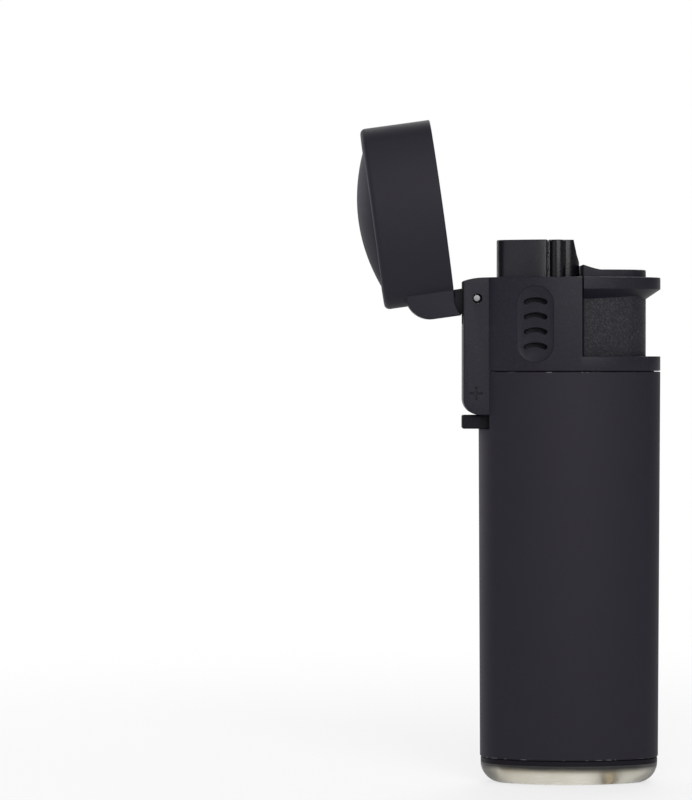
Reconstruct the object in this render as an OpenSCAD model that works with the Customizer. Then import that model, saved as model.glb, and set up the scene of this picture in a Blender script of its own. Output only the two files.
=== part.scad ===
// Refillable jet lighter with a flip cap, shown with its cap open.
// Millimetres. The origin is the middle of the standing face, +Z is up,
// -Y is the front and the hinge is on the -X side.

/* [Body] */
// Width of the oval body
body_w = 25; // [24.6:0.1:25.4]
// Depth of the oval body, front to back
body_d = 13; // [12.8:0.1:13.4]
// Radius of the body's narrow ends
end_r = 4.5; // [4.4:0.05:4.6]
// Height of the seam between the sleeve and the head
seam_z = 56.5; // [50:0.5:62]
// Height of the clear base below the sleeve
base_h = 3.6; // [3.5:0.1:4.2]
// Wall of the body sleeve
sleeve_wall = 0.8; // [0.7:0.05:0.8]
// How much the sleeve narrows on each side, top to bottom
sleeve_draft = 0.25; // [0.1:0.05:0.3]

/* [Head] */
// Height of the head above the seam
head_h = 12.9; // [12.9:0.1:13.2]
// Width of the hinge rib, front to back
rib_w = 6.3; // [6.2:0.1:6.6]
// Number of air vents in one panel
vent_count = 4; // [2:1:4]
// Height from one vent to the next
vent_pitch = 2.04; // [1.8:0.02:2.1]

/* [Thumb button] */
// Travel of the button
button_travel = 4; // [3:0.25:4]
// Height of the thumb pad above the ledge
pad_h = 1.05; // [0.8:0.05:1.2]

/* [Cap] */
// Height of the cap from its rim to the top of its wall
cap_h = 9.65; // [9:0.05:11]
// Height of the dome above the cap's wall
dome_h = 1.9; // [1.4:0.1:2.1]
// Wall of the cap
cap_wall = 1.2; // [1:0.05:1.3]
// How far the cap stands open
cap_open = 98; // [0:1:98]

/* [Hidden] */
$fn = 96;

// Finishes
SOFT_BLACK = "#323137";
HARD_BLACK = "#38373e";
GLOSS_BLACK = "#1c1b1f";
CLEAR = "#b9b5ab";
BRASS = "#b8924a";
STEEL = "#b4b6ba";
RUBBER = "#242424";
CERAMIC = "#e8e4da";
WHITE = "#dcdcd6";

// An offset that reaches the middle of an oval
MIDDLE = -99;
half_w = body_w / 2;
half_d = body_d / 2;
fit = 0.05;
gap = 0.15;
past = 1;

// Heights of the body, from the seam down
sleeve_low = base_h;
tank_top = seam_z - 10.5;
tank_roof = 1.4;
tank_wall = 1.1;
frame_top = tank_top + 1;
tab_low = seam_z - 7.75;
tab_h = 1.7;
rib_low = seam_z - 5.85;
rib_corner = 2;
slot_half = rib_w / 2 + fit;

// Heights of the head and cap
head_low = seam_z + 0.1;
head_top = seam_z + head_h;
head_wall = 1.1;
head_roof = 1.1;
collar_top = seam_z + 2.1;
skirt_low = seam_z - 4;
part_x = 1.35;
part_wall = 0.8;
rim_z = head_top + gap;
cap_top = rim_z + cap_h;
cap_roof = 0.6;
dome_recess = 0.8;
dome_top = cap_top + dome_h;

// Hinge, with the knuckle's outline given from the pin with the cap shut
pin_x = -half_w - 0.25;
pin_z = head_top - 2.9;
pin_r = 0.6;
rib_x = -half_w - 2.2;
ear_x = pin_x + 1;
ear_r = 9;
slot_floor = pin_z - 3.45;
slot_w = 4.1;
knuckle_w = 3.8;
tongue_left = -1.4;
tongue_right = 0.6;
tongue_top = 6.2;
shoulder_r = 3.1;
lug_x = rib_x;
lug_r = 3.4;
lug_turn_z = rim_z + 3.2;
lug_seat_r = 3.15;

// Burner and gas valve on one axis
burner_x = -5.8;
burner_r = 2.2;
burner_bore = 1.9;
burner_top = head_top + 4.5;
cover_top = head_top + 5.15;
plug_low = head_top - 2.6;
cover_inset = 2.5;
cover_right = -3.2;
holder_left = -3.1;
nozzle_r = 0.9;
collar_low = seam_z - 13.6;
fork_flange_low = seam_z - 4.9;
hose_low = seam_z - 4.1;
mixer_low = seam_z - 0.5;
mixer_top = seam_z + 9;
electrode_x = -1.65;
electrode_z = head_top + 3.6;
electrode_low = head_top - 2.65;
electrode_r = 0.25;

// Gas lever
lever_x = -1;
lever_z = seam_z - 5.2;
lever_pin_r = 0.5;

// Thumb button and its igniter
stem_x = 1.6;
stem_a = 10.5;
stem_b = 4.5;
stem_r = 3.5;
stem_wall = 0.8;
stem_low = seam_z - 2;
stem_roof = seam_z + 9.9;
pad_top = head_top + pad_h;
ramp_rise = 0.7;
piezo_x = 5.75;
case_top = seam_z + 2;
case_bore = 1.75;
plunger_r = 1.7;
plunger_bore = 1.25;
hammer_r = 1.2;
hammer_low = seam_z - 2.5;
hammer_h = 3;
anvil_top = seam_z - 4.5;
head_block_low = seam_z + 8;

// Refill port
refill_x = 5;
port_r = 1.1;
port_depth = 1.2;
bush_r = 1.7;
bush_low = 0.2;
bush_top = 6.8;

// Points along an arc
function arc(x, y, r, from, to, steps = 8) =
    [for (i = [0:steps]) let (t = from + (to - from) * i / steps) [x + r * cos(t), y + r * sin(t)]];

// Radius of an oval's long sides, and half the angle that each long side covers
function side_radius(a, b, r) = (pow(a - r, 2) + b * b - r * r) / (2 * (b - r));
function side_angle(a, b, r) = atan((a - r) / (side_radius(a, b, r) - b));

// Points round a four-arc oval
function oval_points(a, b, r) =
    let (long_r = side_radius(a, b, r), half = side_angle(a, b, r))
    concat(
        arc(a - r, 0, r, half - 90, 90 - half, 12),
        arc(0, b - long_r, long_r, 90 - half, 90 + half),
        arc(r - a, 0, r, 90 + half, 270 - half, 12),
        arc(0, long_r - b, long_r, 270 - half, 270 + half)
    );

// Rounds to a thousandth of a millimetre, so that neighbouring sectors share their corners
function neat(v) = round(v * 1000) / 1000;

// Moves a section's points out to a radius, held at the least radius
function swept(section, radius, least) =
    [for (p = section) [max(least, radius + neat(p[0])), neat(p[1])]];

// Points round a lens: two arcs that bulge apart, each about a centre set back from the middle
function lens(back, r) =
    let (half = acos(back / r))
    concat(arc(0, -back, r, 90 - half, 90 + half), arc(0, back, r, 270 - half, 270 + half));

// A section swept round the body's four-arc oval: each point is [offset from the outline, height].
// Points at the middle make it solid, with a lens that fills what the sectors leave.
module oval(section) {
    long_r = side_radius(half_w, half_d, end_r);
    half = side_angle(half_w, half_d, end_r);
    core = [for (p = section) if (p[0] == MIDDLE) p[1]];
    for (turn = [0, 180])
        rotate([0, 0, turn]) {
            translate([half_w - end_r, 0, 0])
                rotate_extrude(angle = 180 - 2 * half, start = half - 90)
                    polygon(swept(section, end_r, 0));
            translate([0, half_d - long_r, 0])
                rotate_extrude(angle = 2 * half, start = 90 - half)
                    polygon(swept(section, long_r, long_r - end_r));
        }
    if (len(core) > 0)
        translate([0, 0, min(core)])
            linear_extrude(max(core) - min(core))
                polygon(lens(long_r - half_d, long_r - end_r + gap));
}

// A filled oval from one height to another
module oval_block(inset, low, high) {
    oval([[MIDDLE, low], [-inset, low], [-inset, high], [MIDDLE, high]]);
}

// An outline in X and Z, extruded from front to back about Y = 0
module across(width) {
    rotate([90, 0, 0])
        linear_extrude(width, center = true)
            children();
}

// A box from its low and high corners
module box(low, high) {
    translate(low)
        cube(high - low);
}

module post(x, y, low, high, r) {
    translate([x, y, low])
        cylinder(h = high - low, r = r);
}

module ring(x, y, low, high, outer, inner) {
    difference() {
        post(x, y, low, high, outer);
        post(x, y, low - past, high + past, inner);
    }
}

// A round bar along Y, centred
module bar_y(x, z, length, r) {
    translate([x, 0, z])
        rotate([90, 0, 0])
            cylinder(h = length, r = r, center = true);
}

// A round bar from one point to another
module rod(from, to, r) {
    run = to - from;
    flat = norm([run[0], run[1]]);
    translate(from)
        rotate([0, atan2(flat, run[2]), atan2(run[1], run[0])])
            cylinder(h = norm(run), r = r);
}

// A coil spring as one tube with flat ends
module coil(x, low, high, coil_r, wire_r, turns) {
    sides = 6;
    steps = 8;
    last = turns * steps;
    rise = high - low - 2 * wire_r;
    echo(str("gap between turns ", rise / turns - 2 * wire_r));
    points = [
        for (i = [0:last], k = [0:sides - 1])
            let (turn = 360 * i / steps, side = 360 * k / sides, out = coil_r + wire_r * cos(side))
            [x + out * cos(turn), out * sin(turn), low + wire_r * (1 + sin(side)) + rise * i / last]
    ];
    walls = [
        for (i = [0:last - 1], k = [0:sides - 1])
            let (a = i * sides + k, b = i * sides + (k + 1) % sides)
            each [[a, a + sides, b], [b, a + sides, b + sides]]
    ];
    start = [for (k = [1:sides - 2]) [0, k, k + 1]];
    stop = [for (k = [1:sides - 2]) [last * sides, last * sides + k + 1, last * sides + k]];
    polyhedron(points, concat(walls, start, stop));
}

// The button stem's outline, grown or shrunk, from its flat side to the right
module stem_block(grow, low, high) {
    intersection() {
        translate([0, 0, low])
            linear_extrude(high - low)
                polygon(oval_points(stem_a + grow, stem_b + grow, stem_r + grow));
        box([stem_x - grow, -half_w, low - past], [body_w, half_w, high + past]);
    }
}

// Turns the cap from shut to open about the hinge pin
module opened() {
    translate([pin_x, 0, pin_z])
        rotate([0, -cap_open, 0])
            translate([-pin_x, 0, -pin_z])
                children();
}

// Body

module body_sleeve() {
    edge = 0.15;
    color(SOFT_BLACK)
        difference() {
            oval([
                [-sleeve_draft - edge, sleeve_low],
                [-sleeve_draft, sleeve_low + edge],
                [0, seam_z - edge],
                [-edge, seam_z],
                [-sleeve_wall, seam_z],
                [-sleeve_draft - sleeve_wall, sleeve_low]
            ]);
            box([-body_w, -slot_half, tab_low - gap], [-half_w + 3, slot_half, seam_z + past]);
        }
}

module fuel_tank() {
    low_in = sleeve_draft + sleeve_wall + fit;
    top_in = sleeve_wall + 2 * fit;
    color(CLEAR)
        difference() {
            oval([
                [-low_in, sleeve_low],
                [-top_in, tank_top],
                [MIDDLE, tank_top],
                [MIDDLE, tank_top - tank_roof],
                [-top_in - tank_wall, tank_top - tank_roof],
                [-low_in - tank_wall, sleeve_low]
            ]);
            post(burner_x, 0, tank_top - 2 * tank_roof, tank_top + past, 1.9);
        }
}

module tank_base() {
    lip = sleeve_draft + 0.17;
    corner = 3.2;
    spigot = sleeve_draft + sleeve_wall + tank_wall + 0.15;
    floor_h = 1.8;
    seat = sleeve_low - fit;
    color(CLEAR)
        difference() {
            union() {
                oval(concat(
                    [[-lip - corner - 0.4, 0]],
                    arc(-lip - corner, corner, corner, -90, 0, 3),
                    [[-lip, seat], [-spigot, seat], [-spigot, seat + 2.4], [-spigot - 1, seat + 2.4]],
                    [[-spigot - 1, floor_h], [-lip - corner - 0.4, floor_h]]
                ));
                oval_block(lip + corner + 0.2, 0, floor_h);
                post(refill_x, 0, floor_h / 2, bush_top - 1, bush_r + 0.6);
            }
            post(refill_x, 0, -past, bush_top, bush_r + fit);
        }
}

// Refill port in the base

module refill_valve() {
    color(BRASS)
        difference() {
            post(refill_x, 0, bush_low, bush_top, bush_r);
            post(refill_x, 0, bush_low - past, bush_low + port_depth, port_r);
            post(refill_x, 0, bush_low, bush_top + past, 0.6);
            post(refill_x, 0, bush_low + 2, bush_top - 0.6, 1.25);
        }
}

module refill_seal() {
    color(RUBBER)
        ring(refill_x, 0, bush_low + 2, bush_low + 2.3, 1.1, 0.55);
}

module refill_poppet() {
    color(BRASS) {
        post(refill_x, 0, bush_low + port_depth + 0.1, bush_low + 2.4, 0.5);
        post(refill_x, 0, bush_low + 2.3, bush_low + 3, 1);
    }
}

module refill_spring() {
    color(STEEL)
        coil(refill_x, bush_low + 3, bush_top - 0.6, 0.8, 0.12, 4);
}

// Gas valve

module fuel_wick() {
    wick_top = collar_low - 0.5;
    color(WHITE) {
        post(burner_x, 0, base_h + 2.4, wick_top - 2, 1);
        post(burner_x, 0, wick_top - 2.4, wick_top, 1.4);
    }
}

module valve_body() {
    ring_seat = tab_low - fit;
    color(BRASS)
        difference() {
            union() {
                post(burner_x, 0, collar_low - 2.4, tank_top + 0.8, 1.85);
                post(burner_x, 0, tank_top + 0.4, tank_top + 1.2, 3.2);
                post(burner_x, 0, tank_top + 0.8, ring_seat, 2.2);
                post(burner_x, 0, tank_top + 1, tab_low + tab_h + gap, 1.7);
            }
            post(burner_x, 0, collar_low - 2.4 - past, tank_top, 1.45);
            post(burner_x, 0, collar_low, seam_z, nozzle_r + fit);
        }
}

module valve_seal() {
    color(RUBBER)
        ring(burner_x, 0, tank_top, tank_top + 0.4, 3, 1.9);
}

module adjuster_lever() {
    arm_w = 2.6;
    tip_x = rib_x - 0.1;
    finger_x = -half_w + 1.5;
    top = tab_low + tab_h;
    color(HARD_BLACK)
        difference() {
            union() {
                post(burner_x, 0, tab_low, top, 3);
                box([finger_x - past, -arm_w / 2, tab_low], [burner_x - 2, arm_w / 2, top]);
                box([tip_x, -arm_w / 2, tab_low - 2 * fit], [finger_x, arm_w / 2, top + 2 * fit]);
            }
            post(burner_x, 0, tab_low - past, top + past, 1.75);
        }
}

module gas_nozzle() {
    color(BRASS)
        difference() {
            union() {
                post(burner_x, 0, collar_low, collar_low + 0.6, 1.3);
                post(burner_x, 0, collar_low, fork_flange_low + 0.3, nozzle_r);
                post(burner_x, 0, fork_flange_low, fork_flange_low + 0.6, 1.9);
                post(burner_x, 0, fork_flange_low, fork_flange_low + 2.6, 0.6);
            }
            post(burner_x, 0, collar_low + 1, seam_z, 0.3);
        }
}

module valve_pad() {
    color(RUBBER)
        post(burner_x, 0, collar_low - 0.45, collar_low, 1.25);
}

module valve_spring() {
    color(STEEL)
        coil(burner_x, collar_low + 0.6, tank_top, 1.17, 0.12, 3);
}

// Frame and gas lever

module mechanism_frame() {
    ear_in = 2.6;
    ear_out = 3.6;
    pocket = [stem_x + 0.35, 2.8, frame_top + 3.2];
    case_low = [piezo_x - 2.5, -2.25, frame_top];
    case_high = [piezo_x + 2.5, 2.25, seam_z];
    wire_y = 1.7;
    color(HARD_BLACK)
        difference() {
            union() {
                difference() {
                    oval_block(sleeve_wall + 0.15, tank_top, frame_top);
                    post(burner_x, 0, tank_top - past, frame_top + past, 3.4);
                }
                for (side = [-1, 1])
                    box(
                        [lever_x - 1.1, min(side * ear_in, side * ear_out), tank_top + 0.5],
                        [lever_x + 1.1, max(side * ear_in, side * ear_out), lever_z + 1.1]
                    );
                box([pocket[0], -pocket[1], tank_top + 0.5], [2 * piezo_x - pocket[0], pocket[1], pocket[2]]);
            }
            box(case_low, case_high);
            bar_y(lever_x, lever_z, body_d, lever_pin_r + 0.03);
            box([0, wire_y - 0.5, frame_top + 1.4], [piezo_x, wire_y + 0.5, seam_z]);
        }
}

module gas_lever() {
    half = 1.2;
    tine_in = 1;
    tine_out = 2;
    bar_low = lever_z - 0.3;
    bar_top = lever_z + 0.25;
    color(STEEL)
        difference() {
            union() {
                bar_y(lever_x, lever_z, 2 * half, 0.85);
                box([lever_x, -tine_in, bar_low], [stem_x + 0.75, tine_in, bar_top]);
                box([lever_x - 2.6, -half, bar_low], [lever_x, half, bar_top]);
                box([burner_x - 1.2, -tine_out, bar_low], [lever_x - 2, tine_out, bar_top]);
            }
            box([burner_x - 3, -tine_in, bar_low - past], [burner_x + 1.05, tine_in, bar_top + past]);
            bar_y(lever_x, lever_z, body_d, lever_pin_r + 0.03);
        }
}

module gas_lever_pin() {
    color(STEEL)
        bar_y(lever_x, lever_z, 7.2, lever_pin_r);
}

// Burner

module gas_hose() {
    color(RUBBER)
        ring(burner_x, 0, hose_low, mixer_low, 1.25, 0.62);
}

module mixer_tube() {
    bore = 1.65;
    floor_h = 0.6;
    air_z = seam_z + 3;
    color(BRASS)
        difference() {
            union() {
                post(burner_x, 0, mixer_low, mixer_top, burner_r);
                post(burner_x, 0, mixer_low - 0.7, mixer_low + 0.3, 0.6);
            }
            post(burner_x, 0, mixer_low + floor_h, mixer_top + past, bore);
            post(burner_x, 0, mixer_low - past, mixer_top, 0.3);
            bar_y(burner_x, air_z, body_d, 0.6);
            translate([burner_x, 0, air_z])
                rotate([0, 90, 0])
                    cylinder(h = body_d, r = 0.6, center = true);
        }
}

module jet_orifice() {
    low = mixer_low + 0.6;
    color(BRASS)
        ring(burner_x, 0, low, low + 1, 1.6, 0.15);
}

module burner_tube() {
    color(STEEL)
        difference() {
            ring(burner_x, 0, mixer_top, burner_top, burner_r, burner_bore);
            rod([burner_x, 0, electrode_z], [electrode_x, 0, electrode_z], electrode_r + 0.1);
        }
}

module flame_holder() {
    holes = 6;
    hole_ring = 1.2;
    low = burner_top - 2.7;
    top = low + 1;
    color(STEEL)
        difference() {
            post(burner_x, 0, low, top, burner_bore - 0.02);
            post(burner_x, 0, low - past, top + past, 0.45);
            for (i = [0:holes - 1])
                let (t = 360 * i / holes)
                post(burner_x + hole_ring * cos(t), hole_ring * sin(t), low - past, top + past, 0.28);
        }
}

module burner_cover() {
    color(HARD_BLACK)
        difference() {
            intersection() {
                oval_block(cover_inset, plug_low, cover_top);
                box([-body_w, -half_w, 0], [cover_right, half_w, cover_top + past]);
            }
            post(burner_x, 0, plug_low - past, cover_top + past, burner_r + fit);
            rod([burner_x, 0, electrode_z], [electrode_x, 0, electrode_z], electrode_r + 0.1);
        }
}

module electrode_holder() {
    column_r = 1.15;
    column_y = 2.5;
    plug_right = part_x - part_wall - 2 * fit;
    slope = [[0.4, cover_top], [0.85, head_top + 3.1], [1.2, head_top + 2.1], [1.3, head_top + 0.1]];
    color(GLOSS_BLACK)
        difference() {
            union() {
                intersection() {
                    oval_block(cover_inset, plug_low, head_top + 0.6);
                    box([holder_left, -half_w, 0], [plug_right, half_w, cover_top]);
                }
                for (side = [-1, 1])
                    post(holder_left + column_r + gap, side * column_y, head_top, cover_top, column_r);
                box([holder_left, -column_y, head_top], [0, column_y, cover_top]);
                across(2 * column_y + 1.2)
                    polygon(concat([[holder_left + 1.5, head_top + 0.1], [holder_left + 1.5, cover_top]], slope));
            }
            post(electrode_x, 0, plug_low - past, electrode_z + electrode_r, electrode_r + 0.1);
            rod([burner_x, 0, electrode_z], [electrode_x, 0, electrode_z], electrode_r + 0.1);
        }
}

module spark_electrode() {
    tip_x = burner_x + burner_bore - 0.1;
    corner = [electrode_x, 0, electrode_z];
    color(STEEL) {
        rod([electrode_x, 0, electrode_low], corner, electrode_r);
        translate(corner)
            sphere(electrode_r);
        rod(corner, [tip_x, 0, electrode_z], electrode_r);
    }
}

module ignition_wire() {
    wire_r = 0.35;
    joint_r = wire_r + 0.02;
    wire_x = part_x - part_wall - wire_r - gap;
    route = [
        [piezo_x - 2.45, 1.7, frame_top + 2],
        [wire_x, 1.7, frame_top + 2],
        [wire_x, 1.7, head_top - 4.4],
        [electrode_x, 0, electrode_low - 0.6],
        [electrode_x, 0, electrode_low]
    ];
    last = len(route) - 1;
    color(RUBBER) {
        for (i = [0:last - 1])
            rod(route[i], route[i + 1], wire_r);
        for (i = [1:last - 1])
            translate(route[i])
                sphere(joint_r);
    }
}

// Igniter

module piezo_case() {
    color(WHITE)
        difference() {
            box([piezo_x - 2.45, -2.2, frame_top], [piezo_x + 2.45, 2.2, case_top]);
            post(piezo_x, 0, frame_top + 1, case_top + past, case_bore);
        }
}

module piezo_crystal() {
    color(CERAMIC)
        post(piezo_x, 0, frame_top + 1, anvil_top - 1, hammer_r);
}

module piezo_anvil() {
    color(STEEL)
        post(piezo_x, 0, anvil_top - 1, anvil_top, hammer_r);
}

module piezo_hammer() {
    color(STEEL)
        post(piezo_x, 0, hammer_low, hammer_low + hammer_h, hammer_r);
}

module hammer_spring() {
    color(STEEL)
        coil(piezo_x, hammer_low + hammer_h, head_block_low - 0.1, 0.95, 0.15, 7);
}

module piezo_plunger() {
    tube_low = hammer_low + 2.6;
    color(WHITE)
        difference() {
            union() {
                post(piezo_x, 0, tube_low, head_block_low + 0.5, plunger_r);
                box([piezo_x - 2.25, -2.1, head_block_low], [piezo_x + 2.25, 2.1, stem_roof - fit]);
            }
            post(piezo_x, 0, tube_low - past, head_block_low - 0.1, plunger_bore);
        }
}

module piezo_spring() {
    color(STEEL)
        coil(piezo_x, case_top, head_block_low, 2, 0.17, 4);
}

module thumb_button() {
    ledge_low = head_top - 3.24;
    ledge_edge = head_top - 1.62;
    chamfer = 0.2;
    ramp_run = 2.5;
    lever_notch = lever_z + button_travel - 0.05;
    color(HARD_BLACK)
        difference() {
            union() {
                intersection() {
                    oval([
                        [MIDDLE, ledge_low],
                        [-2.4, ledge_low],
                        [0, ledge_edge],
                        [0, head_top - chamfer],
                        [-chamfer, head_top],
                        [MIDDLE, head_top]
                    ]);
                    box([stem_x, -half_w, 0], [body_w, half_w, cap_top]);
                }
                intersection() {
                    stem_block(0, stem_low, cover_top);
                    across(body_d)
                        polygon(concat(
                            [[stem_x - past, 0], [body_w, 0], [body_w, pad_top]],
                            [
                                for (t = [1:-0.2:0])
                                    [stem_x + ramp_run * t, pad_top + ramp_rise * pow(1 - t, 1.3)]
                            ],
                            [[stem_x - past, pad_top + ramp_rise]]
                        ));
                }
                for (side = [-1, 1])
                    translate([4, side * 4.4, stem_low + 0.9])
                        cube([2, 1.1, 1.6], center = true);
            }
            stem_block(-stem_wall, stem_low - past, stem_roof);
            box([0, -1.6, stem_low - past], [piezo_x, 1.6, lever_notch]);
        }
}

// Head

// A rounded upright panel outline centred on a point
function stadium(x, z, width, height) =
    let (r = width / 2, reach = height / 2 - r)
    concat(arc(x, z + reach, r, 0, 180, 16), arc(x, z - reach, r, 180, 360, 16));

// A band that arches upwards, with its crown at a point
function crescent(x, z, width, band, r) =
    let (half = asin(width / 2 / r))
    concat(
        arc(x, z - r, r, 90 - half, 90 + half),
        arc(x, z - r, r - band, 90 + half, 90 - half)
    );

module vent_cuts() {
    panel_x = -5.05;
    panel_z = seam_z + 6.5;
    recess = 0.2;
    difference() {
        across(2 * body_d)
            polygon(stadium(panel_x, panel_z, 4.95, 10.45));
        oval_block(recess, seam_z - past, head_top + past);
    }
    for (i = [0:vent_count - 1])
        across(2 * body_d)
            polygon(crescent(panel_x, seam_z + 10.12 - i * vent_pitch, 3.2, 0.65, 3.1));
}

// Plates that keep wind from blowing straight through the vents
module vent_baffles() {
    baffle_in = 3.5;
    baffle_out = 3.9;
    low = [-7.6, baffle_in, head_low + 1];
    high = [part_x - part_wall + fit, baffle_out, plug_low - fit];
    for (side = [0, 1])
        mirror([0, side, 0])
            box(low, high);
}

module flame_marks() {
    mark_x = pin_x - 0.1;
    mark_z = rib_low + 2.95;
    length = 1.5;
    stroke = 0.3;
    depth = 0.15;
    face = rib_w / 2;
    translate([mark_x, -face, mark_z]) {
        cube([length, 2 * depth, stroke], center = true);
        cube([stroke, 2 * depth, length], center = true);
    }
    translate([mark_x, face, mark_z])
        cube([length, 2 * depth, stroke], center = true);
}

module head_housing() {
    rib_end = -half_w + 2.4;
    left_turn = 180 - acos((ear_x - rib_x) / ear_r);
    spring_slot = [pin_x + 1.4, pin_x + 2.2];
    spring_low = seam_z - 1.5;
    rib_outline = concat(
        [[rib_end, rib_low], [rib_end, head_top]],
        arc(ear_x, head_top - ear_r, ear_r, 90, left_turn),
        arc(rib_x + rib_corner, rib_low + rib_corner, rib_corner, 180, 270)
    );
    color(HARD_BLACK) {
        difference() {
            union() {
                difference() {
                    union() {
                        intersection() {
                            oval([
                                [MIDDLE, head_low],
                                [0, head_low],
                                [0, head_top - gap],
                                [-gap, head_top],
                                [MIDDLE, head_top]
                            ]);
                            box([-body_w, -half_w, 0], [part_x, half_w, cap_top]);
                        }
                        intersection() {
                            oval_block(sleeve_wall + fit, skirt_low, head_low + 0.5);
                            box([-body_w, -half_w, 0], [part_x - 0.5, half_w, cap_top]);
                        }
                    }
                    intersection() {
                        oval_block(head_wall, skirt_low - past, head_top - head_roof);
                        box([-body_w, -half_w, 0], [part_x - part_wall, half_w, cap_top]);
                    }
                    intersection() {
                        oval_block(sleeve_wall + 0.75, skirt_low - past, head_low);
                        box([-body_w, -half_w, 0], [part_x + 1, half_w, cap_top]);
                    }
                    intersection() {
                        oval_block(cover_inset - fit, head_low, head_top + past);
                        box([-body_w, -half_w, 0], [part_x - part_wall - fit, half_w, cap_top]);
                    }
                }
                difference() {
                    intersection() {
                        oval_block(0, head_low, collar_top);
                        box([part_x - part_wall, -half_w, 0], [body_w, half_w, cap_top]);
                    }
                    stem_block(0.2, head_low - past, collar_top + past);
                }
                across(rib_w)
                    polygon(rib_outline);
            }
            box([-body_w, -slot_w / 2, slot_floor], [rib_end + past, slot_w / 2, cap_top]);
            box([spring_slot[0], -1.8, spring_low], [spring_slot[1], 1.8, slot_floor + past]);
            bar_y(pin_x, pin_z, body_d, pin_r + fit);
            vent_cuts();
            flame_marks();
        }
        vent_baffles();
    }
}

// Hinge and cap

module hinge_pin() {
    color(STEEL)
        bar_y(pin_x, pin_z, rib_w - 0.1, pin_r);
}

module hinge_leaf_spring() {
    leaf = 0.3;
    top = pin_z - 2.65;
    right = pin_x + 1.95;
    left = pin_x - 1;
    foot = seam_z - 1.5;
    color(STEEL)
        across(3.4)
            polygon([
                [right, foot],
                [right, top - leaf],
                [right - leaf, top],
                [left, top],
                [left, top - leaf],
                [right - 2 * leaf, top - leaf],
                [right - leaf, top - 2 * leaf],
                [right - leaf, foot]
            ]);
}

module hinge_knuckle() {
    left = -1.8;
    right = 1.65;
    heel = -2.6;
    sole = -2.2;
    outline = [
        [left, 1.4],
        [left, sqrt(shoulder_r * shoulder_r - left * left)],
        [tongue_left, sqrt(shoulder_r * shoulder_r - tongue_left * tongue_left)],
        [tongue_left, tongue_top],
        [tongue_right, tongue_top],
        [tongue_right, rim_z - pin_z - fit],
        [right, rim_z - pin_z - fit],
        [right, sole + 0.7],
        [right - 0.7, sole],
        [heel + 0.3, sole],
        [heel, sole + 0.3],
        [heel, 0.2]
    ];
    color(GLOSS_BLACK)
        opened()
            difference() {
                translate([pin_x, 0, pin_z])
                    across(knuckle_w)
                        polygon(outline);
                bar_y(pin_x, pin_z, body_d, pin_r + fit);
            }
}

module cap_shell() {
    round_r = 0.7;
    lug_end = -half_w + 2.4;
    lug_foot = sqrt(pow(lug_seat_r, 2) - pow(lug_x - pin_x, 2));
    seat_turn = atan2(lug_foot, lug_x - pin_x);
    lug_outline = concat(
        [[lug_end, rim_z]],
        arc(pin_x, pin_z, lug_seat_r, 90, seat_turn),
        arc(lug_x + lug_r, lug_turn_z, lug_r, 180, 90)
    );
    color(SOFT_BLACK)
        opened()
            difference() {
                union() {
                    oval(concat(
                        [[-cap_wall, rim_z], [0, rim_z]],
                        arc(-round_r, cap_top - round_r, round_r, 0, 90, 3),
                        [[-cap_wall, cap_top]]
                    ));
                    oval_block(cap_wall / 2, cap_top - dome_recess - cap_roof, cap_top - dome_recess);
                    difference() {
                        across(rib_w)
                            polygon(lug_outline);
                        oval_block(cap_wall / 2, rim_z - 2, cap_top);
                    }
                }
                box(
                    [pin_x + tongue_left - fit, -knuckle_w / 2 - fit, pin_z],
                    [pin_x + tongue_right + fit, knuckle_w / 2 + fit, pin_z + tongue_top + fit]
                );
            }
}

module cap_dome() {
    inset = cap_wall + 0.15;
    low = cap_top - dome_recess;
    rise = dome_top - low;
    slices = 7;
    sheet = 0.02;
    color(SOFT_BLACK)
        opened()
            hull()
                for (i = [0:slices - 1])
                    let (h = 1 - pow(1 - i / slices, 2), size = sqrt(1 - h))
                    translate([0, 0, low + rise * h])
                        linear_extrude(sheet)
                            scale([size, size])
                                polygon(oval_points(half_w - inset, half_d - inset, end_r - inset));
}

body_sleeve();
fuel_tank();
tank_base();
refill_valve();
refill_seal();
refill_poppet();
refill_spring();
fuel_wick();
valve_body();
valve_seal();
adjuster_lever();
gas_nozzle();
valve_pad();
valve_spring();
mechanism_frame();
gas_lever();
gas_lever_pin();
gas_hose();
mixer_tube();
jet_orifice();
burner_tube();
flame_holder();
burner_cover();
electrode_holder();
spark_electrode();
ignition_wire();
piezo_case();
piezo_crystal();
piezo_anvil();
piezo_hammer();
hammer_spring();
piezo_plunger();
piezo_spring();
head_housing();
thumb_button();
hinge_pin();
hinge_leaf_spring();
hinge_knuckle();
cap_shell();
cap_dome();
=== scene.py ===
# %% [markdown]
# # A refillable jet lighter with a flip cap
# The imported model is the frame: every piece has its size and place there already. This
# lesson dresses that frame. The outer pieces could keep their plain shapes under a better
# finish, but real mouldings have soft edges and fine surfaces, so they are rebuilt here.

# %% Load the frame
import math

import bmesh
import bpy
from mathutils import Matrix, Vector


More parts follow.
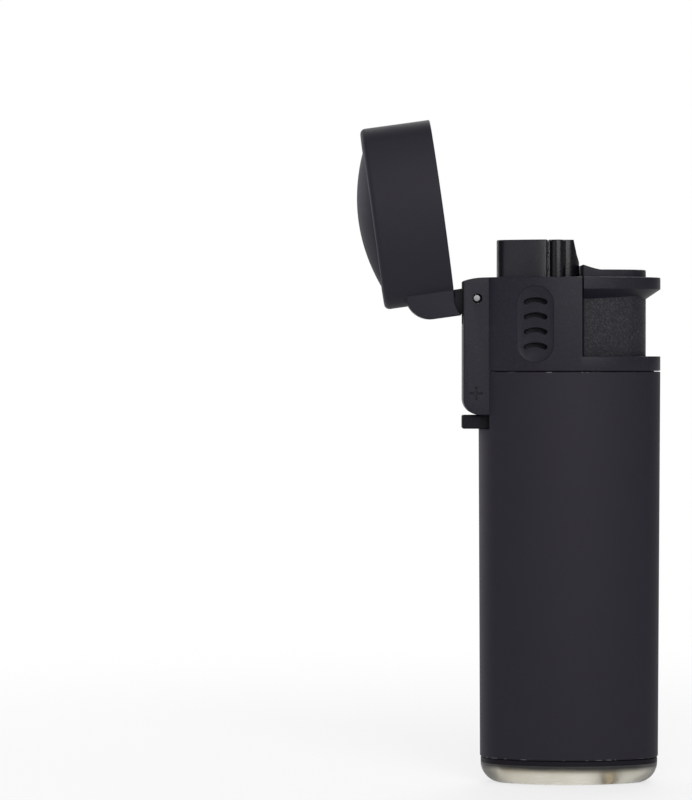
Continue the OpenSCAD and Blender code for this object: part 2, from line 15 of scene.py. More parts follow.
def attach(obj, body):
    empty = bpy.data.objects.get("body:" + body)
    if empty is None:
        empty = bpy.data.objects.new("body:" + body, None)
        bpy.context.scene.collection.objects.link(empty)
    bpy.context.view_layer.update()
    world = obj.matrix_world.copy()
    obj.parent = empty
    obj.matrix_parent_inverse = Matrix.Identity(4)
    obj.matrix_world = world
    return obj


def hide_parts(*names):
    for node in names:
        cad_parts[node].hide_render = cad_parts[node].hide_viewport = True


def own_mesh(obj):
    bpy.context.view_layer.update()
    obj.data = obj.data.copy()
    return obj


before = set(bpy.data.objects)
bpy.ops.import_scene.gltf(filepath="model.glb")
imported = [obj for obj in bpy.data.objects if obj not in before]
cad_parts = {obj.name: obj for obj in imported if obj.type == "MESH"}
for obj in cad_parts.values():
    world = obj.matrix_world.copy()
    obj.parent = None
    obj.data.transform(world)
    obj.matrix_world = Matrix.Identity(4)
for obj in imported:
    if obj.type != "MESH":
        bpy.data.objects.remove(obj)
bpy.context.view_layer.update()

# %% [markdown]
# ## The camera
# The picture was taken from the height of the seam with a long lens, straight at the
# space beside the lighter, so the lighter stands right of the middle and shows a little
# of its left side. The camera could be turned towards the lighter instead, but then its
# level edges would slope. A long lens from far away keeps the upright edges upright.

# %% Camera
LENS, SENSOR, DOWN_DEGREES = 144.0, 36.0, 0.9
EYE = (-0.0307, -0.440, 0.0595)

scene = bpy.context.scene
camera_data = bpy.data.cameras.new("camera")
camera_data.lens = LENS
camera_data.sensor_width = SENSOR
camera_data.clip_start = 0.01
camera_data.clip_end = 20.0
camera = bpy.data.objects.new("camera", camera_data)
camera.location = EYE
camera.rotation_euler = (math.radians(90 - DOWN_DEGREES), 0, 0)
scene.collection.objects.link(camera)
scene.camera = camera
print("camera", [round(1000 * v, 1) for v in EYE], "mm, lens", LENS, "mm")

# %% [markdown]
# ## Wires: sums on sockets
# Nodes could be added and linked one by one, but a node tree is easier to read as a
# formula. One small class wraps a socket: a sum, a product or a comparison of wires adds
# the Math node for it, and one method adds any other node, with its settings first and its
# sockets after.

# %% Wire class
class Wire:
    """A socket in a node tree. Without a socket it stands for the tree alone."""

    def __init__(self, tree, socket=None):
        self.tree = tree
        self.socket = socket

    def node(self, kind, settings=None, sockets=None, out=0):
        """Adds a node: its type, its settings, then the values or links of its sockets."""
        made = self.tree.nodes.new(kind)
        for key, value in (settings or {}).items():
            setattr(made, key, value)
        for key, value in (sockets or {}).items():
            plug(self.tree, made.inputs[key], value)
        return Wire(self.tree, made.outputs[out])

    def other(self, name):
        """Another output of the node that this wire comes from."""
        return Wire(self.tree, self.socket.node.outputs[name])

    def maths(self, operation, *terms):
        return self.node("ShaderNodeMath", {"operation": operation}, dict(enumerate(terms)))

    def __add__(self, other):
        return self.maths("ADD", self, other)

    def __sub__(self, other):
        return self.maths("SUBTRACT", self, other)

    def __rsub__(self, other):
        return self.maths("SUBTRACT", other, self)

    def __mul__(self, other):
        return self.maths("MULTIPLY", self, other)

    def __truediv__(self, other):
        return self.maths("DIVIDE", self, other)

    def __rtruediv__(self, other):
        return self.maths("DIVIDE", other, self)

    def __gt__(self, other):
        return self.maths("GREATER_THAN", self, other)

    def __abs__(self):
        return self.maths("ABSOLUTE", self)

    __radd__ = __add__
    __rmul__ = __mul__


def plug(tree, socket, value):
    """Links a wire to a socket, or sets the socket's own value."""
    if isinstance(value, Wire):
        tree.links.new(value.socket, socket)
    else:
        socket.default_value = value


print("wires carry sums, products and comparisons")

# %% [markdown]
# ## Finishes
# Each finish is one Principled shader. A picture could be wrapped round each piece, but
# patterns made of nodes stay sharp close up and need no unwrapping. Grain goes into the
# bump, cloudiness into colour and roughness, and what is the same all over sits on the
# shader itself. These helpers make the patterns on the piece's own coordinates.

# %% Finish helpers
def new_finish(name, constants):
    """A material, a wire for its tree, and its shader with the constant sockets set."""
    material = bpy.data.materials.new(name)
    material.use_nodes = True
    shader = material.node_tree.nodes["Principled BSDF"]
    for socket, value in constants.items():
        shader.inputs[socket].default_value = value
    return material, Wire(material.node_tree), shader


def feed(shader, sockets):
    for key, wire in sockets.items():
        plug(wire.tree, shader.inputs[key], wire)


def own_spot(board):
    """The piece's own coordinates, in metres."""
    return board.node("ShaderNodeTexCoord").other("Object")


def grain(board, scale, detail=2.0):
    """Noise over the piece, about 0.5 on average."""
    return board.node("ShaderNodeTexNoise", {}, {"Vector": own_spot(board), "Scale": scale, "Detail": detail})


def blend_colours(board, factor, low, high):
    """A mix of two colours, each a wire or three numbers."""
    ends = [shade if isinstance(shade, Wire) else (*shade, 1.0) for shade in (low, high)]
    return board.node("ShaderNodeMix", {"data_type": "RGBA"}, {0: factor, 6: ends[0], 7: ends[1]}, out=2)


def bump(board, height, strength, depth):
    return board.node("ShaderNodeBump", {}, {"Height": height, "Strength": strength, "Distance": depth})


print("finish helpers ready")

# %% [markdown]
# ### A recipe for plastic
# Black plastic is never one black. Slow noise makes it cloudy, fast noise is the grain
# left by the mould, and a few random cells are paler. Along a coated edge, pale spots are
# partly a rubbed coat and partly a painted highlight where the rounded edge catches light:
# a thin band at a given height, broken up by noise. Each plastic could have its own nodes,
# but one recipe with the amounts as its inputs keeps them alike.

# %% Plastic recipe
CLOUD_SCALE, CLOUD_DETAIL, GRAIN_DEPTH = 260.0, 3.0, 0.00004
CLOUD_SHARE, GRAIN_SHARE = 0.6, 0.4
RUB_AND_HIGHLIGHT_BAND, RUB_AND_HIGHLIGHT_SHADE = 0.00014, (0.11, 0.11, 0.115)
RUB_AND_HIGHLIGHT_SCALE, RUB_AND_HIGHLIGHT_OVER = 1300.0, 0.60


def speckle(board, scale):
    """A random number from 0 to 1 for every small cell of the piece."""
    cell = board.node("ShaderNodeTexVoronoi", {}, {"Vector": own_spot(board), "Scale": scale}, out="Color")
    return board.node("ShaderNodeSeparateColor", {}, {0: cell})


def flecks(board, scale, share):
    """1 in a random share of small cells, and 0 elsewhere."""
    return speckle(board, scale) > 1 - share


def height_of(board):
    """The height of each point over the floor, in metres."""
    return board.node("ShaderNodeSeparateXYZ", {}, {0: own_spot(board)}).other("Z")


def plastic(name, low, high, roughness, spread, scale, strength, share, specular=0.5, rub_and_highlight_at=()):
    """Cloudy plastic with a fine grain, a share of pale flecks, and pale spots at given heights, partly wear
    and partly painted highlight.
    """
    material, board, shader = new_finish(name, {"Specular IOR Level": specular})
    cloud = grain(board, CLOUD_SCALE, CLOUD_DETAIL)
    fine = grain(board, scale)
    mottle = cloud * CLOUD_SHARE + fine * GRAIN_SHARE + flecks(board, scale, share)
    colour = blend_colours(board, mottle, low, high)
    # pale spots in a thin band: partly a rubbed coat, partly a painted highlight on the edge
    for height in rub_and_highlight_at:
        far = abs(height_of(board) - height) > RUB_AND_HIGHLIGHT_BAND
        rub_and_highlight = (1 - far) * (grain(board, RUB_AND_HIGHLIGHT_SCALE) > RUB_AND_HIGHLIGHT_OVER)
        colour = blend_colours(board, rub_and_highlight, colour, RUB_AND_HIGHLIGHT_SHADE)
    feed(shader, {
        "Base Color": colour,
        "Roughness": (cloud - 0.5) * spread + (fine - 0.5) * spread + roughness,
        "Normal": bump(board, fine, strength, GRAIN_DEPTH),
    })
    return material


print("plastic recipe ready, pale flecks included")

# %% [markdown]
# ### Coated and moulded plastics
# The sleeve and the cap wear a soft-touch coat, nearly black and matt, with pale spots
# along both ends of the sleeve, partly rubbed coat and partly painted highlight. The head is
# bare moulded plastic, smoother and with more flecks. The burner's cover is a harder plastic
# that stands heat, the electrode holder is glossy, and the adjuster and the knuckle are
# satin. They could share one black, but the eye tells them apart by how they shine, so each
# has its own amounts.

# %% Coated and moulded plastics
# heights of the pale spots at both ends of the sleeve: rubbed coat and painted highlight
SLEEVE_ENDS = (0.0036, 0.0565)

SOFT = plastic(
    "soft_touch_coat", (0.0084, 0.0075, 0.0124), (0.0140, 0.0126, 0.0199), roughness=0.60, spread=0.10,
    scale=6500.0, strength=0.20, share=0.02, specular=0.20, rub_and_highlight_at=SLEEVE_ENDS,
)
MOULDED = plastic(
    "moulded_plastic", (0.0074, 0.0066, 0.0110), (0.0142, 0.0128, 0.0200), roughness=0.46, spread=0.14,
    scale=5600.0, strength=0.40, share=0.12, specular=0.17,
)
BAKED = plastic(
    "heat_proof_plastic", (0.0050, 0.0044, 0.0072), (0.0112, 0.0100, 0.0152), roughness=0.38, spread=0.12,
    scale=3600.0, strength=0.32, share=0.08, specular=0.34,
)
SATIN = plastic(
    "satin_plastic", (0.0046, 0.0040, 0.0064), (0.0082, 0.0073, 0.0112), roughness=0.50, spread=0.12,
    scale=4000.0, strength=0.25, share=0.04, specular=0.11,
)
GLOSSY = plastic(
    "glossy_plastic", (0.0030, 0.0028, 0.0042), (0.0060, 0.0056, 0.0082), roughness=0.26, spread=0.08,
    scale=3400.0, strength=0.30, share=0.03, specular=0.27,
)
print("plastics:", [m.name for m in (SOFT, MOULDED, BAKED, SATIN, GLOSSY)])

# %% [markdown]
# ### The stem's coarse grain
# The button's stem slides in the head, so its mould was spark-eroded to a coarse grain that
# doesn't show rubbing. Bigger bumps in the recipe above would only look dented. Here every
# small cell has a shade of its own, and its cube makes a few cells much paler than the rest.

# %% Eroded plastic
CELL_SCALE, ERODED_SCALE, ERODED_DETAIL = 7600.0, 5200.0, 3.0
ERODED_DARK, ERODED_PALE = (0.0062, 0.0056, 0.0084), (0.0262, 0.0236, 0.0330)
ERODED_SPECULAR, ERODED_ROUGH, PALE_SMOOTHER, ERODED_BUMP = 0.25, 0.62, 0.20, 0.30
FINE_SHADE, FINE_HEIGHT, CELL_HEIGHT = 0.7, 0.7, 0.3


def eroded_plastic():
    material, board, shader = new_finish("eroded_plastic", {"Specular IOR Level": ERODED_SPECULAR})
    cell = speckle(board, CELL_SCALE)
    fine = grain(board, ERODED_SCALE, ERODED_DETAIL)
    pale = cell * cell * cell
    feed(shader, {
        "Base Color": blend_colours(board, pale + (fine - 0.5) * FINE_SHADE, ERODED_DARK, ERODED_PALE),
        "Roughness": ERODED_ROUGH - pale * PALE_SMOOTHER,
        "Normal": bump(board, fine * FINE_HEIGHT + cell * CELL_HEIGHT, ERODED_BUMP, GRAIN_DEPTH),
    })
    return material


ERODED = eroded_plastic()
print("stem finish:", ERODED.name, "with", len(ERODED.node_tree.nodes), "nodes")

# %% [markdown]
# ### Clear plastic
# The tank and the base are clear plastic with a warm cast, hazy from handling. It could be
# tinted glass, but that alone looks too clean, so haze goes into its colour, roughness and
# bump. The base's finish also has painted shade: its colour darkens with height towards
# black, and it is a finish of its own because only the base has it.

# %% Clear plastic
PAINTED_SHADE_START, PAINTED_SHADE_END, PAINTED_SHADE_WAVE = 0.0018, 0.0026, 0.0006
PAINTED_SHADE_TINT = (0.010, 0.010, 0.011)
WARM_DARK, WARM_PALE = (0.66, 0.61, 0.48), (0.98, 0.95, 0.83)
CLEAR_IOR, CLEAR_ROUGH, HAZE_ROUGH = 1.49, 0.34, 0.2
HAZE_SCALE, HAZE_DETAIL, HAZE_CONTRAST, HAZE_START = 140.0, 3.0, 2.2, 0.6
SCUFF_SCALE, HAZE_HEIGHT, SCUFF_HEIGHT = 2200.0, 0.8, 0.2
CLEAR_BUMP, CLEAR_DEPTH = 0.12, 0.0002


def smooth_step(board, value, start, end, low=0.0, high=1.0):
    """Goes smoothly from one number to another as a value goes from a start to an end."""
    limits = {"From Min": start, "From Max": end, "To Min": low, "To Max": high}
    return board.node("ShaderNodeMapRange", {"interpolation_type": "SMOOTHSTEP"}, {"Value": value, **limits})


def clear_plastic(name, with_painted_shade):
    """Hazy clear plastic, which may be darkened towards its top by painted shade."""
    material, board, shader = new_finish(name, {"Transmission Weight": 1.0, "IOR": CLEAR_IOR})
    haze = grain(board, HAZE_SCALE, HAZE_DETAIL)
    scuffs = grain(board, SCUFF_SCALE)
    colour = blend_colours(board, haze * HAZE_CONTRAST - HAZE_START, WARM_DARK, WARM_PALE)
    if with_painted_shade:
        # painted shade: above a given height the colour darkens towards black, with a wavy edge
        height = height_of(board) + (haze - 0.5) * PAINTED_SHADE_WAVE
        colour = blend_colours(board, smooth_step(board, height, PAINTED_SHADE_START, PAINTED_SHADE_END), colour, PAINTED_SHADE_TINT)
    feed(shader, {
        "Base Color": colour,
        "Roughness": haze * HAZE_ROUGH + CLEAR_ROUGH,
        "Normal": bump(board, haze * HAZE_HEIGHT + scuffs * SCUFF_HEIGHT, CLEAR_BUMP, CLEAR_DEPTH),
    })
    return material


CLEAR = clear_plastic("clear_plastic", False)
CLEAR_PAINTED_SHADE = clear_plastic("clear_plastic_painted_shade", True)
print("clear finishes:", CLEAR.name, "and", CLEAR_PAINTED_SHADE.name)

# %% [markdown]
# ### Metals, rubber and ceramic
# Springs and pins are drawn steel, the valves are turned brass, and seals are rubber. Metal
# shows the way it was worked: drawn wire has streaks along it and turned parts have rings.
# Lines could be drawn with a wave texture, but one noise, stretched along an axis by a
# Mapping node, looks less regular. The rest use the plastic recipe.

# %% Metals, rubber and ceramic
STREAK_SCALE, STREAK_DETAIL, STREAK_ROUGH = 2600.0, 3.0, 0.18
STREAK_BUMP, STREAK_DEPTH = 0.15, 0.00003
TARNISH_SCALE, TARNISH_ROUGH = 400.0, 0.08
DRAWN, TURNED = (1.0, 0.08, 1.0), (1.0, 1.0, 6.0)


def metal(name, low, high, roughness, stretch):
    """Drawn or turned metal: noise stretched along one axis."""
    material, board, shader = new_finish(name, {"Metallic": 1.0})
    worked = board.node("ShaderNodeMapping", {}, {"Vector": own_spot(board), "Scale": stretch})
    streak = board.node("ShaderNodeTexNoise", {}, {
        "Vector": worked, "Scale": STREAK_SCALE, "Detail": STREAK_DETAIL,
    })
    tarnish = grain(board, TARNISH_SCALE)
    feed(shader, {
        "Base Color": blend_colours(board, tarnish, low, high),
        "Roughness": streak * STREAK_ROUGH + tarnish * TARNISH_ROUGH + roughness,
        "Normal": bump(board, streak, STREAK_BUMP, STREAK_DEPTH),
    })
    return material


STEEL = metal("drawn_steel", (0.56, 0.56, 0.58), (0.68, 0.68, 0.70), 0.16, DRAWN)
DULL = metal("dull_steel", (0.16, 0.16, 0.165), (0.26, 0.26, 0.265), 0.34, DRAWN)
BRASS = metal("turned_brass", (0.46, 0.37, 0.23), (0.60, 0.49, 0.32), 0.22, TURNED)
RUBBER = plastic(
    "seal_rubber", (0.010, 0.010, 0.010), (0.022, 0.022, 0.021), roughness=0.72, spread=0.10,
    scale=3000.0, strength=0.3, share=0.02,
)
NATURAL = plastic(
    "natural_plastic", (0.62, 0.61, 0.56), (0.74, 0.73, 0.69), roughness=0.48, spread=0.10,
    scale=2400.0, strength=0.2, share=0.02,
)
FIRED = plastic(
    "fired_ceramic", (0.66, 0.62, 0.53), (0.80, 0.77, 0.69), roughness=0.60, spread=0.10,
    scale=4000.0, strength=0.3, share=0.05,
)
print("other finishes:", [m.name for m in (STEEL, DULL, BRASS, RUBBER, NATURAL, FIRED)])

# %% [markdown]
# ## The oval rule
# The body's plan is an oval of four arcs: two narrow ends and two long, gentle flanks
# that meet without a kink. A circle could be stretched into an oval, but its walls would
# then change in thickness. Here a point is named by the direction its surface faces, and an
# offset moves it in or out along that direction, so any wall is a section swept round
# the oval. Sizes are in millimetres until a piece is finished.

# %% The oval in Python
MM = 0.001
HALF_W, HALF_D, END_R = 12.5, 6.5, 4.5
LONG_R = ((HALF_W - END_R) ** 2 + HALF_D**2 - END_R**2) / (2 * (HALF_D - END_R))
FLANK_SINE = (LONG_R - HALF_D) / (LONG_R - END_R)
SEAM_Z, HEAD_TOP = 56.5, 69.4
BASE_TOP = 3.6


def oval_spot(turn, offset=0.0):
    """The point of the oval that faces an angle in radians, moved out by an offset."""
    c, s = math.cos(turn), math.sin(turn)
    if abs(s) > FLANK_SINE:
        return (LONG_R + offset) * c, math.copysign(LONG_R - HALF_D, -s) + (LONG_R + offset) * s
    return math.copysign(HALF_W - END_R, c) + (END_R + offset) * c, (END_R + offset) * s


def oval_inset(x, y):
    """How far inside the oval a point lies."""
    if abs(x) * (LONG_R - HALF_D) > (HALF_W - END_R) * (LONG_R - HALF_D + abs(y)):
        return END_R - math.hypot(abs(x) - HALF_W + END_R, y)
    return LONG_R - math.hypot(x, abs(y) + LONG_R - HALF_D)


print("flank radius", LONG_R, "mm, end radius", END_R, "mm")

# %% [markdown]
# ## Trees from Python
# Geometry Nodes suit what repeats or follows a rule, because a shape then follows its
# numbers. A tree could be drawn in the node editor, but one that the script builds needs no
# other file. Every tree here has named inputs, ends with real meshes and a material, and
# runs once on a mesh, so that what is left is a plain mesh.

# %% Geometry Nodes helpers
def new_tree(name, inputs):
    """A geometry tree with named inputs, and a wire for each of them."""
    tree = bpy.data.node_groups.new(name, "GeometryNodeTree")
    tree.interface.new_socket(name="Geometry", in_out="INPUT", socket_type="NodeSocketGeometry")
    for label, kind in inputs.items():
        tree.interface.new_socket(name=label, in_out="INPUT", socket_type="NodeSocket" + kind)
    tree.interface.new_socket(name="Geometry", in_out="OUTPUT", socket_type="NodeSocketGeometry")
    source = tree.nodes.new("NodeGroupInput")
    return tree, {s.name: Wire(tree, s) for s in source.outputs if s.name}


def end_tree(shape, material):
    """Ends a tree: instances become real, and the material is set."""
    real = shape.node("GeometryNodeRealizeInstances", {}, {"Geometry": shape})
    done = shape.node("GeometryNodeSetMaterial", {}, {"Geometry": real, "Material": material})
    last = shape.tree.nodes.new("NodeGroupOutput")
    shape.tree.links.new(done.socket, last.inputs[0])


def run_tree(tree, mesh, sizes):
    """Runs a tree on a mesh with its inputs set by identifier, and returns a plain mesh."""
    carrier = bpy.data.objects.new(tree.name, mesh)
    scene.collection.objects.link(carrier)
    modifier = carrier.modifiers.new(tree.name, "NODES")
    modifier.node_group = tree
    for item in tree.interface.items_tree:
        if item.in_out == "INPUT" and item.name in sizes:
            modifier[item.identifier] = sizes[item.name]
    shown = carrier.evaluated_get(bpy.context.evaluated_depsgraph_get())
    result = bpy.data.meshes.new_from_object(shown)
    carrier.modifiers.clear()
    bpy.data.objects.remove(carrier)
    return result


print("geometry helpers ready")

# %% [markdown]
# ## A tree for walls
# The sleeve, the head, the base and the cap are all walls on the same oval, so one tree
# makes them. A curve with a bevel could sweep a section too, but a rule puts each point
# exactly where it belongs. The tree's input mesh is the wall's section, a row of points
# with the offset in X and the height in Z. A grid takes one column of those points for
# every step round, and the rule above is written once more, as wires, to place them.

# %% The wall tree
MERGE = 0.0005


def wall_tree():
    tree, given = new_tree("oval_wall", {
        "Half Width": "Float", "Half Depth": "Float", "End Radius": "Float",
        "Steps": "Int", "Material": "Material",
    })
    board = Wire(tree)
    section, steps = given["Geometry"], given["Steps"]
    a, b, r = given["Half Width"], given["Half Depth"], given["End Radius"]
    rows = board.node("GeometryNodeAttributeDomainSize", {"component": "MESH"}, {"Geometry": section})
    grid = board.node("GeometryNodeMeshGrid", {}, {"Vertices X": steps + 1, "Vertices Y": rows})
    index = board.node("GeometryNodeInputIndex")
    column = board.maths("FLOOR", (index + 0.5) / rows)
    row = index - column * rows
    place = board.node("GeometryNodeInputPosition")
    point = board.node(
        "GeometryNodeSampleIndex",
        {"data_type": "FLOAT_VECTOR", "domain": "POINT"},
        {"Geometry": section, "Value": place, "Index": row},
    )
    parts = board.node("ShaderNodeSeparateXYZ", {}, {0: point})
    offset, height = parts.other("X"), parts.other("Z")
    turn = column / steps * (2 * math.pi)
    c, s = board.maths("COSINE", turn), board.maths("SINE", turn)
    long_r = ((a - r) * (a - r) + b * b - r * r) / ((b - r) * 2)
    flank = abs(s) > (long_r - b) / (long_r - r)
    reach = r + flank * (long_r - r) + offset
    x = (1 - flank) * board.maths("SIGN", c) * (a - r) + reach * c
    y = flank * board.maths("SIGN", s) * (b - long_r) + reach * s
    spot = board.node("ShaderNodeCombineXYZ", {}, {"X": x, "Y": y, "Z": height})
    bent = board.node("GeometryNodeSetPosition", {}, {"Geometry": grid.other("Mesh"), "Position": spot})
    joined = board.node("GeometryNodeMergeByDistance", {}, {"Geometry": bent, "Distance": MERGE})
    end_tree(joined, given["Material"])
    return tree


WALL = wall_tree()
STEPS_ROUND = 256


def swept_wall(section, material):
    """A wall from its section, a list of (offset, height), which may be left open."""
    line = bpy.data.meshes.new("section")
    line.from_pydata([(o, 0.0, z) for o, z in section], [(k, k + 1) for k in range(len(section) - 1)], [])
    return run_tree(WALL, line, {
        "Half Width": HALF_W, "Half Depth": HALF_D, "End Radius": END_R,
        "Steps": STEPS_ROUND, "Material": material,
    })


def closed_wall(section, material):
    """A wall whose section closes on itself."""
    return swept_wall(section + section[:1], material)


print("wall tree has", len(WALL.nodes), "nodes and", STEPS_ROUND, "steps round the oval")

# %% [markdown]
# ## Outlines
# Everything that isn't a wall starts as a flat outline. It could be drawn as a curve object,
# but a list of points is easier to measure and to change. Corners carry a radius, arcs are
# spelled out, and an outline can be grown or shrunk evenly, which is what rounds an edge.

# %% Outlines
def rounded(corners, steps=5):
    """A closed outline from (x, y, radius) corners, each corner turned into an arc."""
    outline = []
    for k, (x, y, radius) in enumerate(corners):
        here = Vector((x, y))
        back = (Vector(corners[k - 1][:2]) - here).normalized()
        on = (Vector(corners[(k + 1) % len(corners)][:2]) - here).normalized()
        if radius == 0:
            outline.append((x, y))
            continue
        half = back.angle(on) / 2
        centre = here + (back + on).normalized() * (radius / math.sin(half))
        first = here + back * (radius / math.tan(half)) - centre
        last = here + on * (radius / math.tan(half)) - centre
        start = math.atan2(first.y, first.x)
        sweep = (math.atan2(last.y, last.x) - start + math.pi) % (2 * math.pi) - math.pi
        outline += arc(centre.x, centre.y, radius, math.degrees(start), math.degrees(start + sweep), steps)
    return outline


def arc(x, y, radius, start, stop, steps=12):
    """Points along an arc, from one angle to another in degrees."""
    turns = [math.radians(start + (stop - start) * k / steps) for k in range(steps + 1)]
    return [(x + radius * math.cos(t), y + radius * math.sin(t)) for t in turns]


def circle(x, y, radius, steps=64):
    return arc(x, y, radius, 0, 360, steps)[:-1]


print("arcs and rounded corners ready")

# %% [markdown]
# ## Growth and levels
# A rounded end is a run of outlines that shrink as they rise, and a flared mouth is one that
# grows. An outline could be scaled, but that moves far corners more than near ones. Here each
# corner moves out square to its two sides, so the margin is even. A level is a height with
# its growth.

# %% Growth and levels
def grown(outline, growth):
    """An anticlockwise outline moved outwards, corner by corner."""
    moved = []
    for k, here in enumerate(outline):
        here = Vector(here)
        back = (here - Vector(outline[k - 1])).normalized()
        on = (Vector(outline[(k + 1) % len(outline)]) - here).normalized()
        out_back, out_on = Vector((back.y, -back.x)), Vector((on.y, -on.x))
        moved.append(here + (out_back + out_on) * (growth / (1 + out_back.dot(out_on))))
    return moved


def anticlockwise(outline):
    area = sum(
        outline[k - 1][0] * p[1] - p[0] * outline[k - 1][1] for k, p in enumerate(outline)
    )
    return list(outline) if area > 0 else list(reversed(outline))


def soft_levels(low, high, edge_low, edge_high, steps=4):
    """Levels (height, growth) for a prism with rounded ends."""
    ends = []
    for end, edge, way in ((low, edge_low, 1), (high, edge_high, -1)):
        turns = [math.pi / 2 * k / steps for k in range(steps + 1)] if edge else [0]
        run = [(end + way * edge * (1 - math.cos(t)), edge * (math.sin(t) - 1)) for t in turns]
        ends.append(run[::way])
    return ends[0] + ends[1]


def straight(low, high):
    """Levels for a prism with square ends."""
    return [(low, 0), (high, 0)]


print("levels ready, straight or soft at the ends")

# %% [markdown]
# ## Prisms
# An outline becomes a solid when it is carried through a list of levels. Each level has its
# own growth, so an edge is rounded by shrinking the last few outlines. A Bevel modifier
# could round it too, but fails where a rounding is cut by another shape. A place function
# says where a level's points go: upright, front to back, or laid on the curved flank.

# %% Prisms
FAR, WIDE, HIGH = 20.0, 10.0, 80.0


def upright(u, v, w):
    return u, v, w


def front_to_back(u, v, w):
    return u, w, v


def on_flank(u, v, w):
    """X and Z on the front flank, with the level as the offset from it."""
    turn = -math.acos(u / LONG_R)
    x, y = oval_spot(turn, w)
    return x, y, v


def tidy_mesh(bm):
    bmesh.ops.remove_doubles(bm, verts=bm.verts, dist=MERGE)
    bmesh.ops.recalc_face_normals(bm, faces=bm.faces)
    mesh = bpy.data.meshes.new("shape")
    bm.to_mesh(mesh)
    bm.free()
    return mesh


def rings_mesh(rings):
    """A closed mesh from rings of points, with flat ends."""
    bm = bmesh.new()
    rows = [[bm.verts.new(p) for p in ring] for ring in rings]
    for low, high in zip(rows, rows[1:]):
        for k in range(len(low)):
            bm.faces.new((low[k - 1], low[k], high[k], high[k - 1]))
    bm.faces.new(reversed(rows[0]))
    bm.faces.new(rows[-1])
    return tidy_mesh(bm)


def prism(outline, levels, place=upright):
    """An outline carried through levels of (height, growth)."""
    outline = anticlockwise(outline)
    rings = [[place(p[0], p[1], w) for p in grown(outline, growth)] for w, growth in levels]
    return rings_mesh(rings)


def post(x, radius, levels):
    """An upright round prism in the middle of the lighter's depth."""
    return prism(circle(x, 0, radius), levels)


def oval_solid(levels, steps=STEPS_ROUND):
    """A filled oval carried through levels of (offset, height)."""
    turns = [2 * math.pi * k / steps for k in range(steps)]
    return rings_mesh([[(*oval_spot(t, offset), z) for t in turns] for offset, z in levels])


def box(low, high):
    outline = [(low[0], low[1]), (high[0], low[1]), (high[0], high[1]), (low[0], high[1])]
    return prism(outline, straight(low[2], high[2]))


print("prisms ready; cutters reach", FAR, "mm out and", HIGH, "mm up")

# %% [markdown]
# ## Adding and cutting
# A moulding is one solid, so its parts are added and cut by booleans. Faces could be
# pulled about by hand instead, but a boolean keeps the numbers in view, and the Manifold
# solver turns closed meshes into closed meshes. What is alike front and back is made once
# and mirrored, and the mirrored copy is turned right side out again.

# %% Adding and cutting
def combine(mesh, tool, operation="DIFFERENCE"):
    """A boolean of two closed meshes."""
    pair = [bpy.data.objects.new("shape", m) for m in (mesh, tool)]
    for obj in pair:
        scene.collection.objects.link(obj)
    modifier = pair[0].modifiers.new("combine", "BOOLEAN")
    modifier.operation = operation
    modifier.solver = "MANIFOLD"
    modifier.object = pair[1]
    shown = pair[0].evaluated_get(bpy.context.evaluated_depsgraph_get())
    result = bpy.data.meshes.new_from_object(shown)
    for obj in pair:
        bpy.data.objects.remove(obj)
    return result


def add(mesh, *tools):
    for tool in tools:
        mesh = combine(mesh, tool, "UNION")
    return mesh


def mirrored(mesh):
    """A copy with front and back exchanged, still facing outwards."""
    bm = bmesh.new()
    bm.from_mesh(mesh)
    bm.transform(Matrix.Scale(-1, 4, (0, 1, 0)))
    return tidy_mesh(bm)


def joined(*meshes):
    """Meshes in one, left apart."""
    bm = bmesh.new()
    for mesh in meshes:
        bm.from_mesh(mesh)
    whole = bpy.data.meshes.new("shape")
    bm.to_mesh(whole)
    bm.free()
    return whole


print("booleans ready")

# %% [markdown]
# ## Soft edges and slices
# No moulded edge is quite sharp. Where a cut shows, the cutter's mouth can be flared, but
# not every edge is reached that way. So a small test picks edges by their place and by the
# faces beside them, and these are bevelled. Planes slice a mesh into strips, or cut it off
# and close it again.

# %% Soft edges and slices
SHARP_TURN, SOFT_STEPS = 0.5, 3


def soften(mesh, chosen, width):
    """Rounds the sharp edges that a test picks by an edge's middle and its two face normals."""
    bm = bmesh.new()
    bm.from_mesh(mesh)
    edges = []
    for edge in bm.edges:
        if len(edge.link_faces) == 2 and edge.calc_face_angle(0) > SHARP_TURN:
            middle = (edge.verts[0].co + edge.verts[1].co) / 2
            if chosen(middle, [f.normal for f in edge.link_faces]):
                edges.append(edge)
    bmesh.ops.bevel(
        bm, geom=edges, offset=width, offset_type="OFFSET", segments=SOFT_STEPS, profile=0.5,
        affect="EDGES", clamp_overlap=True,
    )
    return tidy_mesh(bm)


def slice_mesh(bm, point, outwards, **options):
    """Cuts edges and faces along a plane."""
    bmesh.ops.bisect_plane(
        bm, geom=[*bm.verts, *bm.edges, *bm.faces], plane_co=point, plane_no=outwards, **options
    )


def close_holes(bm):
    bmesh.ops.holes_fill(bm, edges=[e for e in bm.edges if e.is_boundary])


def trim(mesh, point, outwards):
    """Cuts away what lies beyond a plane and closes the cut."""
    bm = bmesh.new()
    bm.from_mesh(mesh)
    slice_mesh(bm, point, outwards, dist=1e-5, clear_outer=True)
    close_holes(bm)
    return tidy_mesh(bm)


print("soft edges take", SOFT_STEPS, "steps")

# %% [markdown]
# ## Finishing a piece
# A finished piece is scaled to metres, shaded smooth except at sharp edges, and put on the
# body it rides on, while the frame's node of the same name is hidden. Each piece could do
# this for itself, but in one place no step is forgotten. A count of open edges shows at once
# if a shape isn't closed.

